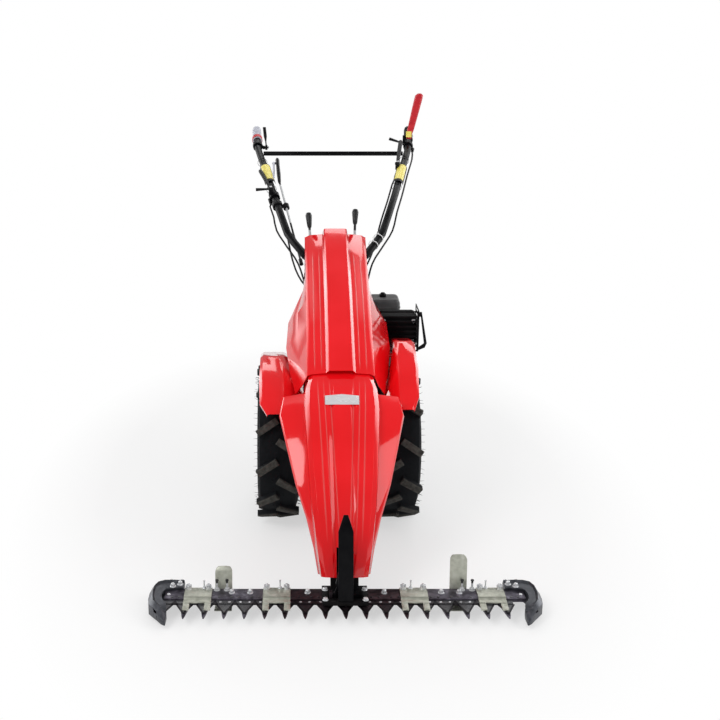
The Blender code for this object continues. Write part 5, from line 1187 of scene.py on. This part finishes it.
def engine_details():
    """Tank seam, cap ribs, cowl, cover and muffler screws, the cleaner's lid and nut, oil plugs, starter."""
    seam = rounded_plate("tank_seam", (0.2010, 0.1510, 0.0040), corner=0.022, segments=6, edge=0.0012)
    seam.data.transform(Matrix.Translation(TANK_SEAM))
    done(seam, TANK, "frame")
    rib = block("cap_rib", (0.0024, 0.0030, 0.0090))
    soften(rib, 0.0008, 2)
    x, y, z = FUEL_CAP
    places = [((x + across, y + along, z), UP, math.radians(18 * i))
              for i, (across, along) in enumerate(ring_of(20, 0, 0.0280))]
    set_out(rib, "fuel_cap_ribs", places, BLACK, "fuel_cap")
    bolt = make_hex_bolt(0.0048)
    places = [((x, COWL_FACE, CRANK_HEIGHT + z), (0, 1, 0), 0.2) for x, z in ring_of(4, 60, 0.0905)]
    set_out(bolt, "cowl_screws", places, STEEL, "frame")
    along = Vector((math.cos(CYLINDER_LEAN), 0, math.sin(CYLINDER_LEAN)))
    across = Vector((-math.sin(CYLINDER_LEAN), 0, math.cos(CYLINDER_LEAN)))
    end = Vector((0, CYLINDER_BACK, CRANK_HEIGHT)) + along * VALVE_COVER_REACH
    places = [(end + across * up + Vector((0, back, 0)), along, 0.3)
              for up in (-0.028, 0.028) for back in (0.034, 0.100)]
    set_out(bolt, "valve_cover_bolts", places, STEEL, "frame")
    places = [((x, MUFFLER_FACE, z), (0, -1, 0), 0.1) for x in (0.146, 0.236) for z in (0.493, 0.558)]
    set_out(bolt, "muffler_screws", places, STEEL, "frame")
    knob = stepped_knob("cleaner_nut", radius=0.011, height=0.009, sides=24, share=0.004, rise=0.004,
                        edge=0.0012)
    set_out(knob, "air_cleaner_nut", [((*AIR_CLEANER, 0.590), UP, 0.0)], BLACK, "frame")
    lid = rounded_plate("cleaner_lid", (0.1090, 0.0950, 0.0050), corner=0.014, segments=5, edge=0.0014)
    lid.data.transform(Matrix.Translation(CLEANER_LID))
    done(lid, GREY, "frame")
    plug = stepped_knob("oil_plug", radius=0.013, height=0.014, sides=16, share=0.004, rise=0.010,
                        edge=0.001)
    set_out(plug, "oil_plugs", [(place, (0, -1, 0), 0.0) for place in OIL_PLUGS], BLACK, "frame")
    hub = stepped_knob("starter_hub", radius=0.026, height=0.004, sides=28, share=0.004, rise=0.003,
                       edge=0.001)
    set_out(hub, "starter_centre", [((0, STARTER_FACE, CRANK_HEIGHT), (0, 1, 0), 0.0)], GREY, "frame")
    discard(rib, bolt, knob, plug, hub)


# A valve's place from the tyre's centre: out, back and up
VALVE_STEM = (0.016, 0.075, 0.078)


def valve_stems():
    """One capped valve stem on each rim."""
    stem = cylinder("stem", 0.0030, 0.022, 14)
    step_up(stem, 0.0006, 0.006)
    soften(stem, 0.0005, 1)
    out, back, up = VALVE_STEM
    places = [((side * (TYRE_CENTRE + out), AXLE_BACK + back, AXLE_HEIGHT + up), (side, 0.2, 0.2), 0.0)
              for side in (-1, 1)]
    set_out(stem, "valve_stems", places, BLACK, "wheels")
    discard(stem)


# Width of the real corner of each solid; the rest have the plain one
CORNERS = {
    "hood_upper": 0.0045, "hood_lower": 0.0045, "mudguard_left": 0.0060, "mudguard_right": 0.0060,
    "tyre_left": 0.0030, "tyre_right": 0.0030, "gearbox": 0.0025, "crankcase": 0.0020,
    "end_shoe_left": 0.0016, "end_shoe_right": 0.0016, "column": 0.0012, "drive_head": 0.0012,
    "fan_housing": 0.0014, "cylinder_head": 0.0008, "grass_divider": 0.0008, "stop_lever": 0.0020,
    "badge_plate": 0.0006, "finger_bar": 0.0004, "knife": 0.0, "axle": 0.0006}
PLAIN_CORNER = 0.0005
WIDE_CORNER = 0.002


def round_the_solids():
    """Every solid but the cables gets rounded corners and smooth rounds."""
    for name in sorted(nodes):
        if not name.startswith("cable"):
            width = CORNERS.get(name, PLAIN_CORNER)
            refined(name, width, segments=3 if width > WIDE_CORNER else 2)


# Each cable's start on the column's stop and the end of its bending stretch under the handle
CABLE_PATHS = {
    "cable_throttle": ((-0.038, -0.079, 0.612), (-0.200, 0.271, 0.850)),
    "cable_brake": ((-0.038, -0.121, 0.560), (-0.200, 0.271, 0.850)),
    "cable_clutch": ((0.038, -0.079, 0.612), (0.200, 0.261, 0.850)),
    "cable_stop": ((0.038, -0.121, 0.560), (0.205, 0.301, 0.860))}


def bend_the_cables():
    """Smooth copies of the cables from the column's stops to the handles; they ride on no body and don't
    follow the handlebar when it tilts.
    """
    for name, (start, end) in CABLE_PATHS.items():
        copy = refined(name, 0.0, ride=False)
        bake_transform(copy)


round_the_solids()
bend_the_cables()
screws_on_the_bar()
screws_on_the_frame()
tyre_hairs()
handlebar_details()
engine_details()
valve_stems()


# Floor, backdrop, light and camera

# Distances over which the floor runs into the backdrop, its glow, and how much of that glossy surfaces see
SHADOW_NEAR = 0.40
SHADOW_FAR = 1.0
FLOOR_GLOW = 0.55
FLOOR_IN_GLOSS = 0.5


def far_from_the_machine(finish, near, far):
    """0 near the machine, 1 further off, so that the floor runs into the backdrop."""
    x, y = axes(finish)[:2]
    y = times(finish, y, 0.6)
    square = plus(finish, times(finish, x, x), times(finish, y, y))
    return fade(finish, arithmetic(finish, "SQRT", square), near, far)


def seen_white(finish):
    """White to the camera, half so in reflections, a pale surface to everything else."""
    tree = finish.node_tree
    shader = tree.nodes["Principled BSDF"]
    output = tree.nodes["Material Output"]
    path = tree.nodes.new("ShaderNodeLightPath")
    glow = tree.nodes.new("ShaderNodeEmission")
    glow.inputs["Color"].default_value = (1, 1, 1, 1)
    glow.inputs["Strength"].default_value = 1.0
    mix = tree.nodes.new("ShaderNodeMixShader")
    gloss = times(finish, path.outputs["Is Glossy Ray"], FLOOR_IN_GLOSS)
    seen = larger(finish, path.outputs["Is Camera Ray"], gloss)
    seen = larger(finish, seen, path.outputs["Is Transmission Ray"])
    share = larger(finish, far_from_the_machine(finish, SHADOW_NEAR, SHADOW_FAR), FLOOR_GLOW)
    tree.links.new(times(finish, seen, share), mix.inputs["Fac"])
    tree.links.new(shader.outputs["BSDF"], mix.inputs[1])
    tree.links.new(glow.outputs["Emission"], mix.inputs[2])
    tree.links.new(mix.outputs["Shader"], output.inputs["Surface"])
    return finish


# Strength of the room's light, of the room as glossy surfaces see it, and of the bright panels in it
ROOM = 0.62
ROOM_IN_GLOSS = 0.28
SIDE_PANELS = 4.2
TOP_PANELS = 0.7


def make_stage():
    """The pale floor that the machine stands on."""
    rest()
    bpy.ops.mesh.primitive_plane_add(size=30.0, location=(0, 4, -0.0005))
    floor = bpy.context.object
    floor.name = "floor"
    paper = seen_white(new_finish("pale_floor", (0.98, 0.98, 0.98), 0.9))
    floor.data.materials.append(paper)
    bpy.ops.object.transform_apply(location=True, rotation=True, scale=True)


def make_world():
    """White backdrop; glossy surfaces see a dimmer room with bright panels at both sides and above."""
    world = bpy.data.worlds.new("studio")
    bpy.context.scene.world = world
    world.use_nodes = True
    tree = world.node_tree
    sky = tree.nodes["Background"]
    sky.inputs["Color"].default_value = (1, 1, 1, 1)
    path = tree.nodes.new("ShaderNodeLightPath")
    way = tree.nodes.new("ShaderNodeSeparateXYZ")
    tree.links.new(tree.nodes.new("ShaderNodeTexCoord").outputs["Generated"], way.inputs["Vector"])
    x, y, z = way.outputs
    aside = absolute(world, x)

    def panel(power, *bounds):
        level = power
        for value, low, high in bounds:
            level = times(world, fade(world, value, low, high), level)
        return level

    side = panel(SIDE_PANELS, (aside, 0.44, 0.60), (y, 0.20, 0.40), (z, 0.0, 0.12), (z, 0.78, 0.50))
    above = panel(TOP_PANELS, (aside, 0.28, 0.36), (aside, 0.50, 0.42), (y, 0.30, 0.40), (z, 0.66, 0.72))
    glossy = plus(world, plus(world, side, above), ROOM_IN_GLOSS - ROOM)
    glossy = times(world, glossy, path.outputs["Is Glossy Ray"])
    seen = larger(world, path.outputs["Is Camera Ray"], path.outputs["Is Transmission Ray"])
    level = plus(world, times(world, seen, 1.0 - ROOM), glossy)
    tree.links.new(plus(world, level, ROOM), sky.inputs["Strength"])


def lamp(name, place, target, size, power):
    """Rectangular lamp that looks at a target."""
    light = bpy.data.lights.new(name, "AREA")
    light.shape = "RECTANGLE"
    light.size, light.size_y = size
    light.energy = power
    item = bpy.data.objects.new(name, light)
    bpy.context.collection.objects.link(item)
    item.location = place
    way = Vector(target) - Vector(place)
    item.rotation_euler = way.to_track_quat("-Z", "Y").to_euler()


CAMERA_PLACE = (-0.130, -3.547, 1.479)
CAMERA_DIP = 16.77
CAMERA_LENS = 58.535
CAMERA_SHIFT = 0.0918


def make_camera():
    camera = bpy.data.cameras.new("camera")
    camera.lens = CAMERA_LENS
    camera.sensor_width = 36.0
    camera.shift_x = CAMERA_SHIFT
    item = bpy.data.objects.new("camera", camera)
    bpy.context.collection.objects.link(item)
    item.location = CAMERA_PLACE
    item.rotation_euler = (math.radians(90 - CAMERA_DIP), 0, 0)
    bpy.context.scene.camera = item


make_stage()
make_world()
lamp("key", (-2.2, -2.6, 3.4), (0, -0.3, 0.4), (1.6, 1.6), 46)
lamp("fill", (2.8, -1.6, 2.2), (0, -0.3, 0.4), (1.2, 2.4), 22)
lamp("back", (0.3, 2.8, 2.8), (0, 0.2, 0.6), (2.4, 1.0), 18)
make_camera()
bpy.context.scene.view_settings.view_transform = "Standard"
